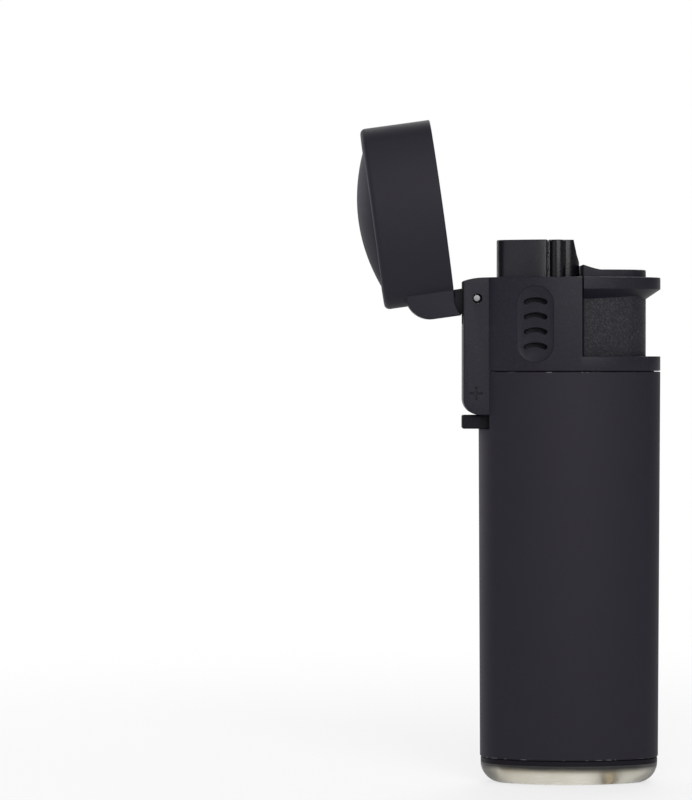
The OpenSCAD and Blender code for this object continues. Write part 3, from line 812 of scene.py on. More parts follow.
# %% Piece maker
def piece(name, mesh, materials, body, sharp=32.0):
    """A finished piece that rides on a body and stands for the node of the same name."""
    mesh.transform(Matrix.Scale(MM, 4))
    mesh.name = name
    mesh.materials.clear()
    for material in materials:
        mesh.materials.append(material)
    mesh.polygons.foreach_set("use_smooth", [True] * len(mesh.polygons))
    mesh.set_sharp_from_angle(angle=math.radians(sharp))
    obj = bpy.data.objects.new(name, mesh)
    scene.collection.objects.link(obj)
    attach(obj, body)
    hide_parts(name)
    bm = bmesh.new()
    bm.from_mesh(mesh)
    open_edges = sum(1 for e in bm.edges if len(e.link_faces) != 2)
    size = [round(1000 * v, 2) for v in obj.dimensions]
    volume = round(bm.calc_volume() * 1e9, 1)
    print(name, size, "mm,", len(bm.faces), "faces, open edges", open_edges, "volume", volume)
    bm.free()
    return obj


def paint(obj, pick):
    """Gives each face the material slot that a rule picks from its middle, in mm, and its normal."""
    for face in obj.data.polygons:
        face.material_index = pick(face.center / MM, face.normal)


print("piece maker ready")

# %% [markdown]
# ## The sleeve
# A thin moulded tube with a soft-touch coat is pushed over the tank from below. It narrows
# a little towards the base, both ends have a small round, and a notch at the top of its
# left end lets the hinge rib and the gas adjuster through. It could be an extruded oval
# with bevels, but a swept section holds the taper, the wall and the rounds in one list of
# corners, and only the notch is cut.

# %% Sleeve
DRAFT, SLEEVE_WALL = 0.25, 0.8
RIB_HALF = 3.15
TAB_LOW, TAB_TOP = 48.75, 50.45
NOTCH_PLAY, NOTCH_DROP, NOTCH_END = 0.05, 0.15, -9.5

sleeve_section = rounded([
    (-DRAFT, BASE_TOP, 0.22),
    (0.0, SEAM_Z, 0.16),
    (-SLEEVE_WALL, SEAM_Z, 0.1),
    (-DRAFT - SLEEVE_WALL, BASE_TOP, 0.1),
])
notch = box(
    (-FAR, -RIB_HALF - NOTCH_PLAY, TAB_LOW - NOTCH_DROP),
    (NOTCH_END, RIB_HALF + NOTCH_PLAY, SEAM_Z + 2),
)
sleeve = combine(closed_wall(sleeve_section, SOFT), notch)
piece("body_sleeve", sleeve, [SOFT], "lighter_body")

# %% [markdown]
# ## The clear base
# The base is moulded clear, with a well-rounded foot, a thick wall and a spigot that goes
# up into the sleeve. It works like a lens: light from the table comes up through it. The dark
# band under the sleeve is painted shade: the spigot, the cavity's wall and the outer rim are
# painted black, over a clear finish that darkens towards its top. A solid block with a
# painted band would be simpler, but the look comes from two surfaces. So it has a real wall
# and floor, and a rule sorts its faces into three finishes.

# %% Base
LIP = DRAFT + 0.1
FOOT_R, FOOT_FLAT = 2.85, 0.75
SHOULDER_Z, FLOOR_TOP = BASE_TOP - 0.05, 1.8
SPIGOT_OUT, SPIGOT_IN, SPIGOT_TOP = -2.3, -3.3, 5.95
REFILL_X, PORT_R, PORT_FLARE = 5.0, 1.75, 0.25
PAINTED_SHADE_LOW, PAINTED_SHADE_INSET = 2.9, 2.2

base_section = (
    [(-LIP - FOOT_R - FOOT_FLAT, 0.0)]
    + arc(-LIP - FOOT_R, FOOT_R, FOOT_R, -90, 0, 12)
    + [(-LIP, BASE_TOP - 0.15), (-LIP - 0.1, SHOULDER_Z), (SPIGOT_OUT, SHOULDER_Z)]
    + [(SPIGOT_OUT, SPIGOT_TOP), (SPIGOT_IN, SPIGOT_TOP), (SPIGOT_IN, 2.2), (-3.42, 1.92)]
    + [(-3.7, FLOOR_TOP), (-LIP - FOOT_R - FOOT_FLAT, FLOOR_TOP)]
)


def base_finish(spot, normal):
    """1 for the spigot and the cavity's wall, 2 for the rim, both black as painted shade, and 0 for the rest.
    """
    on_cavity = spot.z > PAINTED_SHADE_LOW and oval_inset(spot.x, spot.y) > PAINTED_SHADE_INSET
    if spot.z > BASE_TOP or on_cavity:
        return 1
    return 2 if spot.z > FOOT_R + 0.01 else 0


bm = bmesh.new()
bm.from_mesh(swept_wall(base_section, CLEAR_PAINTED_SHADE))
close_holes(bm)
port = post(REFILL_X, PORT_R, [(-2, PORT_FLARE), (0, PORT_FLARE), (PORT_FLARE, 0), (12, 0)])
base = combine(tidy_mesh(bm), port)
# slots 1 and 2 are black rubber and black satin: painted shade for the dark band under the sleeve
base_obj = piece("tank_base", base, [CLEAR_PAINTED_SHADE, RUBBER, SATIN], "lighter_body")
paint(base_obj, base_finish)

# %% [markdown]
# ## The head: wall and collar
# One moulding makes the head's wall, which stops short at the button, and the low collar
# that the button's stem slides in. Two walls of different height could be joined, but
# it is easier to sweep one full wall and to cut away its corner over the collar. The
# cut's edges are then rounded, as they are on the real head.

# %% Head wall
HEAD_LOW, COLLAR_TOP, PART_X, PART_WALL = 56.6, 58.6, 1.35, 0.8
WALL_IN, SHELF_IN, SHELF_LOW = -1.1, -2.45, HEAD_TOP - 1.1
CLOSE, FACING, CUT_ROUND = 1e-3, 0.99, 0.12

head_section = rounded([
    (0.0, HEAD_LOW, 0.14), (0.0, HEAD_TOP, 0.2), (SHELF_IN, HEAD_TOP, 0.1),
    (SHELF_IN, SHELF_LOW, 0.1), (WALL_IN, SHELF_LOW, 0.1), (WALL_IN, HEAD_LOW, 0.1),
])
head = combine(closed_wall(head_section, MOULDED), box((PART_X, -WIDE, COLLAR_TOP), (FAR, WIDE, HIGH)))


def cut_edge(middle, normals):
    """Edges between the corner's two cut planes and the wall."""
    on_side = abs(middle.x - PART_X) < CLOSE and middle.z > COLLAR_TOP - CLOSE
    on_shelf = abs(middle.z - COLLAR_TOP) < CLOSE and middle.x > PART_X - CLOSE
    flat = [n.x > FACING and on_side or n.z > FACING and on_shelf for n in normals]
    return flat[0] != flat[1]


head = soften(head, cut_edge, CUT_ROUND)
print("head wall has", len(head.polygons), "faces")

# %% [markdown]
# ## The head: vents
# The vent panel is a shallow recess with round ends, and the vents are four arched slots
# that let air to the burner. Each slot could be cut by itself, front and back, but they are
# alike. So a tree repeats one pair of slot cutters down the panel, and a single cut makes
# all eight.

# %% Vents
PANEL_X, PANEL_Z, PANEL_R, PANEL_REACH = -5.05, 63.0, 2.475, 2.75
PANEL_LEVELS = [(-0.2, -0.07), (-0.17, -0.02), (-0.12, 0), (-0.05, 0), (0, 0.06), (0.8, 0.06)]
VENT_Z, VENT_PITCH, VENT_COUNT = 66.62, 2.04, 4
VENT_DEEP, VENT_MOUTH, VENT_FLARE = -1.6, -0.2, 0.08
BAND, BOW_R, BOW_SPAN = 0.65, 3.1, 27.3


def stack_tree():
    """Repeats its input down a line: one instance for each row."""
    tree, given = new_tree("vent_stack", {"Rows": "Int", "Pitch": "Float", "Material": "Material"})
    board = Wire(tree)
    step = board.node("ShaderNodeCombineXYZ", {}, {"X": 0.0, "Y": 0.0, "Z": 0 - given["Pitch"]})
    line = board.node("GeometryNodeMeshLine", {"mode": "OFFSET"}, {"Count": given["Rows"], "Offset": step})
    rows = board.node("GeometryNodeInstanceOnPoints", {}, {"Points": line, "Instance": given["Geometry"]})
    end_tree(rows, given["Material"])
    return tree


middle_r = BOW_R - BAND / 2
bow_z = VENT_Z - BOW_R
tip_x = middle_r * math.sin(math.radians(BOW_SPAN))
tip_z = bow_z + middle_r * math.cos(math.radians(BOW_SPAN))
slot_outline = (
    arc(PANEL_X, bow_z, BOW_R, 90 - BOW_SPAN, 90 + BOW_SPAN)
    + arc(PANEL_X - tip_x, tip_z, BAND / 2, 90 + BOW_SPAN, 270 + BOW_SPAN, 8)[1:-1]
    + arc(PANEL_X, bow_z, BOW_R - BAND, 90 + BOW_SPAN, 90 - BOW_SPAN)
    + arc(PANEL_X + tip_x, tip_z, BAND / 2, 270 - BOW_SPAN, 450 - BOW_SPAN, 8)[1:-1]
)
panel_outline = (
    arc(PANEL_X, PANEL_Z + PANEL_REACH, PANEL_R, 0, 180, 24)
    + arc(PANEL_X, PANEL_Z - PANEL_REACH, PANEL_R, 180, 360, 24)
)
panel = prism(panel_outline, PANEL_LEVELS, on_flank)
for cutter in (panel, mirrored(panel)):
    head = combine(head, cutter)
slot_levels = [(VENT_DEEP, 0), (-VENT_FLARE + VENT_MOUTH, 0), (VENT_MOUTH, VENT_FLARE), (0.8, VENT_FLARE)]
slot = prism(slot_outline, slot_levels, on_flank)
slots = run_tree(stack_tree(), joined(slot, mirrored(slot)), {
    "Rows": VENT_COUNT, "Pitch": VENT_PITCH, "Material": MOULDED,
})
head = combine(head, slots)
print("vent cutters:", len(slots.polygons), "faces; head now", len(head.polygons))

# %% [markdown]
# ## The head: rib
# The hinge rib stands out at the left, as wide as the cap's lug. Two ears hold the hinge
# pin, the slot between them takes the knuckle, and the foot is rounded. The rib could be
# modelled from a box, but its shape is all in its side view. So the side view is drawn
# once, carried from front to back with soft edges, and the slot and the bore are cut.

# %% Rib
PIN_X, PIN_Z, PIN_R, BORE_R = -12.75, 66.5, 0.45, 0.66
RIB_X, RIB_LOW, RIB_END, FOOT_ROUND = -14.7, 50.59, -10.1, 2.2
EAR_X, EAR_R, EAR_DROP = PIN_X + 1, 9.0, 0.02
SLOT_FLOOR, SLOT_HALF, SLOT_END = 63.05, 2.05, -9.0
RIB_SOFT, BORE_FLARE, OUTSIDE = 0.18, 0.03, 6.0

ear_turn = 180 - math.degrees(math.acos((EAR_X - RIB_X) / EAR_R))
rib_outline = (
    [(RIB_END, RIB_LOW), (RIB_END, HEAD_TOP - EAR_DROP)]
    + arc(EAR_X, HEAD_TOP - EAR_R - EAR_DROP, EAR_R, 90, ear_turn)
    + arc(RIB_X + FOOT_ROUND, RIB_LOW + FOOT_ROUND, FOOT_ROUND, 180, 270)
)
rib = prism(rib_outline, soft_levels(-RIB_HALF, RIB_HALF, RIB_SOFT, RIB_SOFT), front_to_back)
rib = combine(rib, box((-FAR, -SLOT_HALF, SLOT_FLOOR), (SLOT_END, SLOT_HALF, HIGH)))
bore_half = [(RIB_HALF - BORE_FLARE, 0), (RIB_HALF + 0.01, BORE_FLARE), (OUTSIDE, BORE_FLARE)]
bore_levels = [(-w, growth) for w, growth in reversed(bore_half)] + bore_half
rib = combine(rib, prism(circle(PIN_X, PIN_Z, BORE_R, 48), bore_levels, front_to_back))
print("rib has", len(rib.polygons), "faces")

# %% [markdown]
# ## The head: marks
# A plus mark in front and a minus mark behind say which way the gas adjuster works. They
# could be painted on, but in a moulding they are sunk, and the light catches their edges. Two
# crossed bars, one a hair deeper so that their floors don't coincide, are cut into the rib.

# %% Marks
MARK_X, MARK_Z, MARK_LONG, MARK_WIDE, MARK_DEEP = -12.95, 53.5, 0.92, 0.17, 0.3
HAIR = 0.001


def bar(half_x, half_z, near, far):
    return box((MARK_X - half_x, near, MARK_Z - half_z), (MARK_X + half_x, far, MARK_Z + half_z))


cross = add(
    bar(MARK_LONG, MARK_WIDE, -OUTSIDE, MARK_DEEP - RIB_HALF),
    bar(MARK_WIDE, MARK_LONG, -OUTSIDE, MARK_DEEP - RIB_HALF + HAIR),
)
rib = combine(rib, cross)
rib = combine(rib, bar(MARK_LONG, MARK_WIDE, RIB_HALF - MARK_DEEP, OUTSIDE))
print("rib with its marks has", len(rib.polygons), "faces")

# %% [markdown]
# ## The head: what closes it
# An inner wall closes the head towards the button, a ring thickens the collar, a skirt
# plugs the head into the sleeve, and two baffles make the vents look dark. All of it could
# be in one section, but these parts cross one another. So each is made simply, a little
# sunk into its neighbour, and all of them are added to the head at once.

# %% Inner wall, collar ring, skirt and baffles
SUNK, COLLAR_IN, COLLAR_LAP = -0.5, -1.78, 0.3
PART_SHORT, PART_STEP = 0.3, 0.06
COLLAR_LOW, COLLAR_HIGH = HEAD_LOW + 0.02, COLLAR_TOP - 0.03
SKIRT_OUT, SKIRT_IN, SKIRT_LOW, SKIRT_TOP = -0.85, -1.6, SEAM_Z - 1.5, HEAD_LOW + 0.4
BAFFLE_LEFT, BAFFLE_RIGHT, BAFFLE_NEAR, BAFFLE_FAR = -7.6, PART_X - 0.4, -3.9, -3.5
BAFFLE_LOW, BAFFLE_TOP = HEAD_LOW + 1, HEAD_TOP - 2.65

part_wall = oval_solid([(SUNK, HEAD_LOW + PART_SHORT), (SUNK, HEAD_TOP - PART_SHORT)])
part_wall = trim(part_wall, (PART_X - PART_STEP, 0, 0), (1, 0, 0))
part_wall = trim(part_wall, (PART_X - PART_WALL, 0, 0), (-1, 0, 0))
collar_section = rounded([
    (SUNK, COLLAR_LOW, 0), (SUNK, COLLAR_HIGH, 0), (COLLAR_IN, COLLAR_HIGH, 0.1), (COLLAR_IN, COLLAR_LOW, 0),
])
collar = trim(closed_wall(collar_section, MOULDED), (PART_X - COLLAR_LAP, 0, 0), (-1, 0, 0))
skirt = closed_wall([
    (SKIRT_OUT, SKIRT_LOW), (SKIRT_OUT, SKIRT_TOP), (SKIRT_IN, SKIRT_TOP), (SKIRT_IN, SKIRT_LOW),
], MOULDED)
baffle = box((BAFFLE_LEFT, BAFFLE_NEAR, BAFFLE_LOW), (BAFFLE_RIGHT, BAFFLE_FAR, BAFFLE_TOP))
head = add(head, rib, part_wall, collar, skirt, baffle, mirrored(baffle))
piece("head_housing", head, [MOULDED], "lighter_body")

# %% [markdown]
# ## The button's ledge
# The thumb button is one moulding: a hollow stem, a ledge as wide as the body with a
# sloping underside, and a thumb pad. The ledge could be cut out of a block, but it follows
# the body's oval. So it is a stack of ovals that grow and then round off, cut at the left.

# %% Ledge
STEM_X = 1.5
LEDGE_R, LEDGE_SOFT = 0.18, 0.1
LEDGE_LEVELS = [(-2.4, 66.16), (-0.07, 67.74), (0, 67.80), (0, HEAD_TOP - LEDGE_R)]

ledge_round = [
    (LEDGE_R * (math.cos(t) - 1), HEAD_TOP - LEDGE_R + LEDGE_R * math.sin(t))
    for t in (0.4, 0.8, 1.2, math.pi / 2)
]
ledge = oval_solid(LEDGE_LEVELS + ledge_round)
ledge = trim(ledge, (STEM_X, 0, 0), (-1, 0, 0))
ledge = soften(ledge, lambda middle, normals: abs(middle.x - STEM_X) < CLOSE, LEDGE_SOFT)
print("ledge has", len(ledge.polygons), "faces")

# %% [markdown]
# ## The button's stem and pad
# The stem has a coarse grain, and the smooth pad on top of it curls up towards the burner.
# Both have the same outline, a smaller oval with a flat side. The curl could be sculpted,
# but a rule is easier to change: the pad's top is made flat, cut into strips and lifted
# along a curve. Then the stem is hollowed for the igniter, and its sides get their grain.

# %% Stem and pad
STEM_OVAL = (10.5, 4.5, 3.5)
STEM_LOW, STEM_WALL, STEM_ROOF = 54.5, 0.8, 66.4
STEM_CORNER, CORE_CORNER, STEM_SOFT, PAD_SOFT = 0.25, 1.0, 0.1, 0.2
PAD_TOP, RAMP_RISE, RAMP_RUN, RAMP_STRIPS, RAMP_POWER = 70.45, 0.7, 2.5, 12, 1.3
FORK_HALF, FORK_END, FORK_TOP = 1.6, 5.75, 55.25
GRAIN_TOP, GRAIN_HALF, GRAIN_RIGHT = 67.6, 5.0, 10.6


def stem_outline(corner):
    """The stem's oval right of its flat side, as an outline."""
    a, b, r = STEM_OVAL
    long_r = ((a - r) ** 2 + b * b - r * r) / (2 * (b - r))
    half = math.degrees(math.atan((a - r) / (long_r - b)))
    edge = math.degrees(math.acos((STEM_X + corner) / long_r))
    lower = arc(0, long_r - b, long_r, -edge, half - 90, 16)
    upper = [(x, -y) for x, y in reversed(lower)]
    corner_low = arc(STEM_X + corner, lower[0][1] + corner, corner, 180, 262, 4)
    corner_high = [(x, -y) for x, y in reversed(corner_low)]
    right = arc(a - r, 0, r, half - 90, 90 - half, 24)[1:-1]
    return corner_low + lower[1:] + right + upper[:-1] + corner_high


def button_finish(spot, normal):
    """1 for the stem's grained sides, and 0 for the ledge and the pad."""
    on_stem = spot.z < GRAIN_TOP and abs(spot.y) < GRAIN_HALF and spot.x < GRAIN_RIGHT
    return 1 if on_stem and normal.z > -0.3 else 0


bm = bmesh.new()
bm.from_mesh(prism(stem_outline(STEM_CORNER), soft_levels(STEM_LOW, PAD_TOP, STEM_SOFT, PAD_SOFT)))
for k in range(1, RAMP_STRIPS + 1):
    slice_mesh(bm, (STEM_X + RAMP_RUN * k / RAMP_STRIPS, 0, 0), (1, 0, 0))
for vert in bm.verts:
    if vert.co.z > HEAD_TOP:
        vert.co.z += RAMP_RISE * max(0.0, 1 - (vert.co.x - STEM_X) / RAMP_RUN) ** RAMP_POWER
button = add(tidy_mesh(bm), ledge)
core_outline = grown(anticlockwise(stem_outline(CORE_CORNER)), -STEM_WALL)
core = prism(core_outline, straight(STEM_LOW - 1, STEM_ROOF))
button = combine(button, core)
button = combine(button, box((0, -FORK_HALF, STEM_LOW - 1), (FORK_END, FORK_HALF, FORK_TOP)))
button_obj = piece("thumb_button", button, [MOULDED, ERODED], "button")
paint(button_obj, button_finish)

# %% [markdown]
# ## The burner cover
# A matt block stands round the burner, with a well-rounded left side and a small chamfer
# round its mouth. It could be a rounded box, but its left side runs along the body at an even
# distance. So its outline is an oval set in from the body's, cut straight at the right.

# %% Burner cover
COVER_TOP, COVER_RIGHT, COVER_INSET, BURNER_X = 74.55, -3.2, 2.5, -5.8
PLUG_LOW, BURNER_CUT = HEAD_TOP - 2.6, 60.0
MOUTH_R, MOUTH_CHAMFER = 2.25, 0.12
COVER_CORNER, COVER_SOFT, COVER_STEPS = 0.35, 0.15, 96

cover_turns = [math.pi / 2 + math.pi * k / COVER_STEPS for k in range(COVER_STEPS + 1)]
cover_left = [p for p in (oval_spot(t, -COVER_INSET) for t in cover_turns) if p[0] < COVER_RIGHT - 0.6]
corner_y = math.sqrt((LONG_R - COVER_INSET) ** 2 - COVER_RIGHT**2) - LONG_R + HALF_D
cover_outline = rounded(
    [(COVER_RIGHT, -corner_y, COVER_CORNER), (COVER_RIGHT, corner_y, COVER_CORNER)]
    + [(x, y, 0) for x, y in cover_left]
)
mouth = post(BURNER_X, MOUTH_R, [
    (BURNER_CUT, 0), (COVER_TOP - 0.1, 0), (COVER_TOP + 0.02, MOUTH_CHAMFER), (HIGH, MOUTH_CHAMFER),
])
cover = combine(prism(cover_outline, soft_levels(PLUG_LOW, COVER_TOP, 0, COVER_SOFT)), mouth)
piece("burner_cover", cover, [BAKED], "lighter_body")

# %% [markdown]
# ## The electrode holder
# Next to the cover a glossy block carries the spark electrode: a round column front and
# back, a flat web between them and a slope down to the button. It could be sculpted from one
# block, but it is simple from two views. The web is where a plan and a side view meet, its
# edges are softened, and the columns and the plug that fixes it in the head are added.

# %% Electrode holder
COLUMN_X, COLUMN_Y, COLUMN_R, COLUMN_SOFT = -1.8, 2.5, 1.15, 0.25
WEB_LEFT, WEB_RIGHT, WEB_HALF, WEB_R, WEB_SOFT = -3.0, 1.4, 2.9, 2.0, 0.4
HOLDER_FOOT, WEB_TOP, PLUG_RIGHT = HEAD_TOP - 0.5, COVER_TOP - 0.02, 0.45

slope_outline = [
    (WEB_LEFT, HOLDER_FOOT), (PLUG_RIGHT, HOLDER_FOOT), (PLUG_RIGHT, HEAD_TOP + 0.1), (1.3, HEAD_TOP + 0.1),
    (1.2, HEAD_TOP + 2.1), (0.85, HEAD_TOP + 3.1), (0.4, WEB_TOP), (WEB_LEFT, WEB_TOP),
]
web_plan = rounded([
    (WEB_LEFT, -WEB_HALF, 0), (WEB_RIGHT, -WEB_HALF, WEB_R),
    (WEB_RIGHT, WEB_HALF, WEB_R), (WEB_LEFT, WEB_HALF, 0),
], 14)


def web_edge(middle, normals):
    """Edges above the head, but for the back of the web and its middle line."""
    return middle.z > HEAD_TOP + 0.2 and middle.x > -2.9 and abs(middle.y) > CLOSE


web = combine(
    prism(web_plan, straight(HEAD_TOP - 1, COVER_TOP + 1)),
    prism(slope_outline, straight(-4, 4), front_to_back),
    "INTERSECT",
)
columns = [
    prism(circle(COLUMN_X, y, COLUMN_R), soft_levels(HOLDER_FOOT, COVER_TOP, 0, COLUMN_SOFT))
    for y in (-COLUMN_Y, COLUMN_Y)
]
plug_box = box((-3.1, -3.4, PLUG_LOW), (PLUG_RIGHT, 3.4, HEAD_TOP - 0.2))
holder = add(soften(web, web_edge, WEB_SOFT), *columns, plug_box)
piece("electrode_holder", holder, [GLOSSY], "lighter_body")

# %% [markdown]
# ## The gas adjuster
# The tab turns a ring on the valve, so the gas flow can be set with a fingernail. It is a
# small dark moulding, thicker where the nail rests, with a slanting step across its front.
# The tab alone could be a bevelled box, but it turns about the valve and shows its step.
# So its side view is carried from front to back, the step is cut, and an arm and a ring
# reach in to the valve.

# %% Adjuster
TAB_TIP, TAB_HALF, FINGER_X, FINGER_SOFT = -14.8, 1.3, -11.0, 0.22
FINGER_LOW, FINGER_TOP = TAB_LOW - 0.1, TAB_TOP + 0.1
STEP_DEPTH, STEP_LOW_X, STEP_TOP_X, STEP_END = 0.35, -12.85, -11.85, -9.0
ARM_END, ARM_PLAY = -8.0, 0.02
RING_R, RING_MIDDLE, RING_BORE = 3.0, 2.4, 1.75

finger_outline = rounded([
    (TAB_TIP, FINGER_LOW, 0.3), (FINGER_X, FINGER_LOW, 0),
    (FINGER_X, FINGER_TOP, 0), (TAB_TIP, FINGER_TOP, 0.25),
])
finger = prism(finger_outline, soft_levels(-TAB_HALF, TAB_HALF, FINGER_SOFT, FINGER_SOFT), front_to_back)
step = [
    (STEP_LOW_X, FINGER_LOW - 1), (STEP_END, FINGER_LOW - 1),
    (STEP_END, FINGER_TOP + 1), (STEP_TOP_X, FINGER_TOP + 1),
]
finger = combine(finger, prism(step, straight(-3, -TAB_HALF + STEP_DEPTH), front_to_back))
arm = box(
    (FINGER_X - 0.5, -TAB_HALF + STEP_DEPTH + ARM_PLAY, TAB_LOW),
    (ARM_END, TAB_HALF - ARM_PLAY, TAB_TOP),
)
through = straight(TAB_LOW - 1, TAB_TOP + 1)
arm = combine(arm, post(BURNER_X, RING_MIDDLE, through))
tab_ring = post(BURNER_X, RING_R, soft_levels(TAB_LOW, TAB_TOP, 0.1, 0.1))
tab_ring = combine(tab_ring, post(BURNER_X, RING_BORE, through))
piece("adjuster_lever", add(finger, arm, tab_ring), [SATIN], "adjuster")

# %% [markdown]
# ## The hinge pin
# A dull steel pin runs through the ears. Its thin ends sit a little off the bores' middle,
# as a loose pin does, and its thicker, dark middle fills the knuckle. One plain cylinder
# could do for the motion, but the gap round the pin's end shows from the front, so the
# pin is two prisms made one.

# %% Hinge pin
PIN_END, PIN_NECK, PIN_SOFT = RIB_HALF - 0.08, 0.9, 0.08
PIN_PLAY = (-0.1, 0.05)

pin_outline = circle(PIN_X + PIN_PLAY[0], PIN_Z + PIN_PLAY[1], PIN_R, 48)
pin_middle = circle(PIN_X, PIN_Z, BORE_R - 0.03, 48)
pin = add(
    prism(pin_outline, soft_levels(-PIN_END, PIN_END, PIN_SOFT, PIN_SOFT), front_to_back),
    prism(pin_middle, straight(PIN_NECK - PIN_END, PIN_END - PIN_NECK), front_to_back),
)
pin_obj = piece("hinge_pin", pin, [DULL, SATIN], "lighter_body", sharp=50.0)
paint(pin_obj, lambda spot, normal: 1 if abs(spot.y) < PIN_END - PIN_NECK + 0.01 else 0)

# %% [markdown]
# ## The hinge knuckle
# The knuckle is a satin arm fixed in the cap's lug, and its flat heel rides on a leaf spring,
# which clicks the cap open or shut. It could be drawn in its open place, but its shape is
# square to the shut cap. So the cap's pieces are drawn shut and then turned about the pin,
# as the real cap turns.

# %% Knuckle
OPEN_DEGREES = 98.0
RIM_Z, CAP_TOP = 69.55, 79.2
SHOULDER_R, KNUCKLE_HALF, KNUCKLE_SOFT = 3.1, 1.9, 0.08
KNUCKLE_LEFT, KNUCKLE_RIGHT, HEEL_LEFT, HEEL_LOW = -1.8, 1.65, -2.6, -2.2
TONGUE_LEFT, TONGUE_RIGHT, TONGUE_TOP = -1.4, 0.6, 6.2

pin_spot = Vector((PIN_X, 0, PIN_Z))
open_turn = Matrix.Rotation(math.radians(-OPEN_DEGREES), 4, "Y")
OPENED = Matrix.Translation(pin_spot) @ open_turn @ Matrix.Translation(-pin_spot)


def opened(mesh):
    mesh.transform(OPENED)
    return mesh


def shoulder(u):
    """The height over the pin, at a distance beside it, where the knuckle meets the lug."""
    return math.sqrt(SHOULDER_R**2 - u * u)


knuckle_corners = rounded([
    (KNUCKLE_LEFT, 1.4, 0.5), (KNUCKLE_LEFT, shoulder(KNUCKLE_LEFT), 0.1),
    (TONGUE_LEFT, shoulder(TONGUE_LEFT), 0), (TONGUE_LEFT, TONGUE_TOP, 0.1),
    (TONGUE_RIGHT, TONGUE_TOP, 0.1), (TONGUE_RIGHT, 3.0, 0),
    (KNUCKLE_RIGHT, 3.0, 0.1), (KNUCKLE_RIGHT, -1.5, 0.2),
    (0.95, HEEL_LOW, 0.2), (-2.3, HEEL_LOW, 0.1), (HEEL_LEFT, -1.9, 0.1), (HEEL_LEFT, 0.2, 0.2),
])
knuckle_outline = [(u + PIN_X, w + PIN_Z) for u, w in knuckle_corners]
knuckle_levels = soft_levels(-KNUCKLE_HALF, KNUCKLE_HALF, KNUCKLE_SOFT, KNUCKLE_SOFT)
pin_hole = prism(circle(PIN_X, PIN_Z, BORE_R, 48), straight(-OUTSIDE, OUTSIDE), front_to_back)
knuckle = combine(prism(knuckle_outline, knuckle_levels, front_to_back), pin_hole)
piece("hinge_knuckle", opened(knuckle), [SATIN], "cap")

# %% [markdown]
# ## The cap's shell
# The cap is a short oval cup with the same coat as the sleeve. A cup could be made by
# hollowing a block, but its wall is swept like the others, with a rounded top edge that dips
# into a moat round the dome. The lug at its left end holds the knuckle and follows
# the ears' curve, so that the two meet in one line when the cap is shut.

# %% Cap shell
CAP_WALL, CAP_ROUND, MOAT_R = 1.2, 0.75, 0.2
LUG_X, LUG_R, LUG_END, SEAT_R = -14.7, 3.4, -10.6, 3.15
LUG_TURN_Z = RIM_Z + 3.2
ROOF_LOW, ROOF_TOP, ROOF_OUT = 77.8, 78.4, -CAP_WALL + 0.4
POCKET_PLAY, POCKET_HALF = 0.05, 1.95

cap_section = (
    rounded([
        (-CAP_WALL, ROOF_TOP, 0), (-CAP_WALL, ROOF_LOW, 0), (-CAP_WALL, RIM_Z, 0.15), (0.0, RIM_Z, 0.15),
    ])[1:]
    + arc(-CAP_ROUND, CAP_TOP - CAP_ROUND, CAP_ROUND, 0, 90, 8)
    + arc(-CAP_WALL + MOAT_R, CAP_TOP - MOAT_R, MOAT_R, 90, 180, 4)
)
roof = oval_solid([(ROOF_OUT, ROOF_LOW), (ROOF_OUT, ROOF_TOP)])
seat_turn = math.degrees(math.atan2(math.sqrt(SEAT_R**2 - (LUG_X - PIN_X) ** 2), LUG_X - PIN_X))
lug_outline = (
    [(LUG_END, RIM_Z)]
    + arc(PIN_X, PIN_Z, SEAT_R, 90, seat_turn, 5)
    + arc(LUG_X + LUG_R, LUG_TURN_Z, LUG_R, 180, 90)
    + [(LUG_END, LUG_TURN_Z + LUG_R)]
)
lug = prism(lug_outline, soft_levels(-RIB_HALF, RIB_HALF, RIB_SOFT, RIB_SOFT), front_to_back)
lug = combine(lug, oval_solid([(-0.6, RIM_Z - 3), (-0.6, CAP_TOP)]))
cap = add(closed_wall(cap_section, SOFT), roof, lug)
pocket = box(
    (PIN_X + TONGUE_LEFT - POCKET_PLAY, -POCKET_HALF, PIN_Z),
    (PIN_X + TONGUE_RIGHT + POCKET_PLAY, POCKET_HALF, PIN_Z + TONGUE_TOP + POCKET_PLAY),
)
piece("cap_shell", opened(combine(cap, pocket)), [SOFT], "cap")

# %% [markdown]
# ## The cap's dome
# A domed insert fills the cap's top inside the moat. A sphere could be squashed to fit, but
# its rim wouldn't follow the oval. So the dome is a stack of shrinking ovals whose height
# follows a parabola, with a short skirt below that goes down into the roof.

# %% Cap dome
DOME_TOP, DOME_INSET, DOME_SKIRT = 81.1, 1.35, 0.2
DOME_STEPS, DOME_ROWS, DOME_TIP = 128, 20, 0.01

dome_turns = [2 * math.pi * k / DOME_STEPS for k in range(DOME_STEPS)]
dome_foot = [oval_spot(t, -DOME_INSET) for t in dome_turns]
dome_rings = [[(x, y, ROOF_TOP - DOME_SKIRT) for x, y in dome_foot]]
for k in range(DOME_ROWS):
    size = 1 - k / DOME_ROWS
    height = ROOF_TOP + (DOME_TOP - ROOF_TOP) * (1 - size * size)
    dome_rings.append([(x * size, y * size, height) for x, y in dome_foot])
dome_rings.append([(x * DOME_TIP, y * DOME_TIP, DOME_TOP) for x, y in dome_foot])
piece("cap_dome", opened(rings_mesh(dome_rings)), [SOFT], "cap")

# %% [markdown]
# ## The burner
# Looking down the burner's mouth shows a steel tube and, a little way down, a disc with a
# ring of small holes that splits the gas into fine jets. Each hole could be placed by its
# angle, but a ring is a rule, so a tree sets one cutter on the points of a circle.

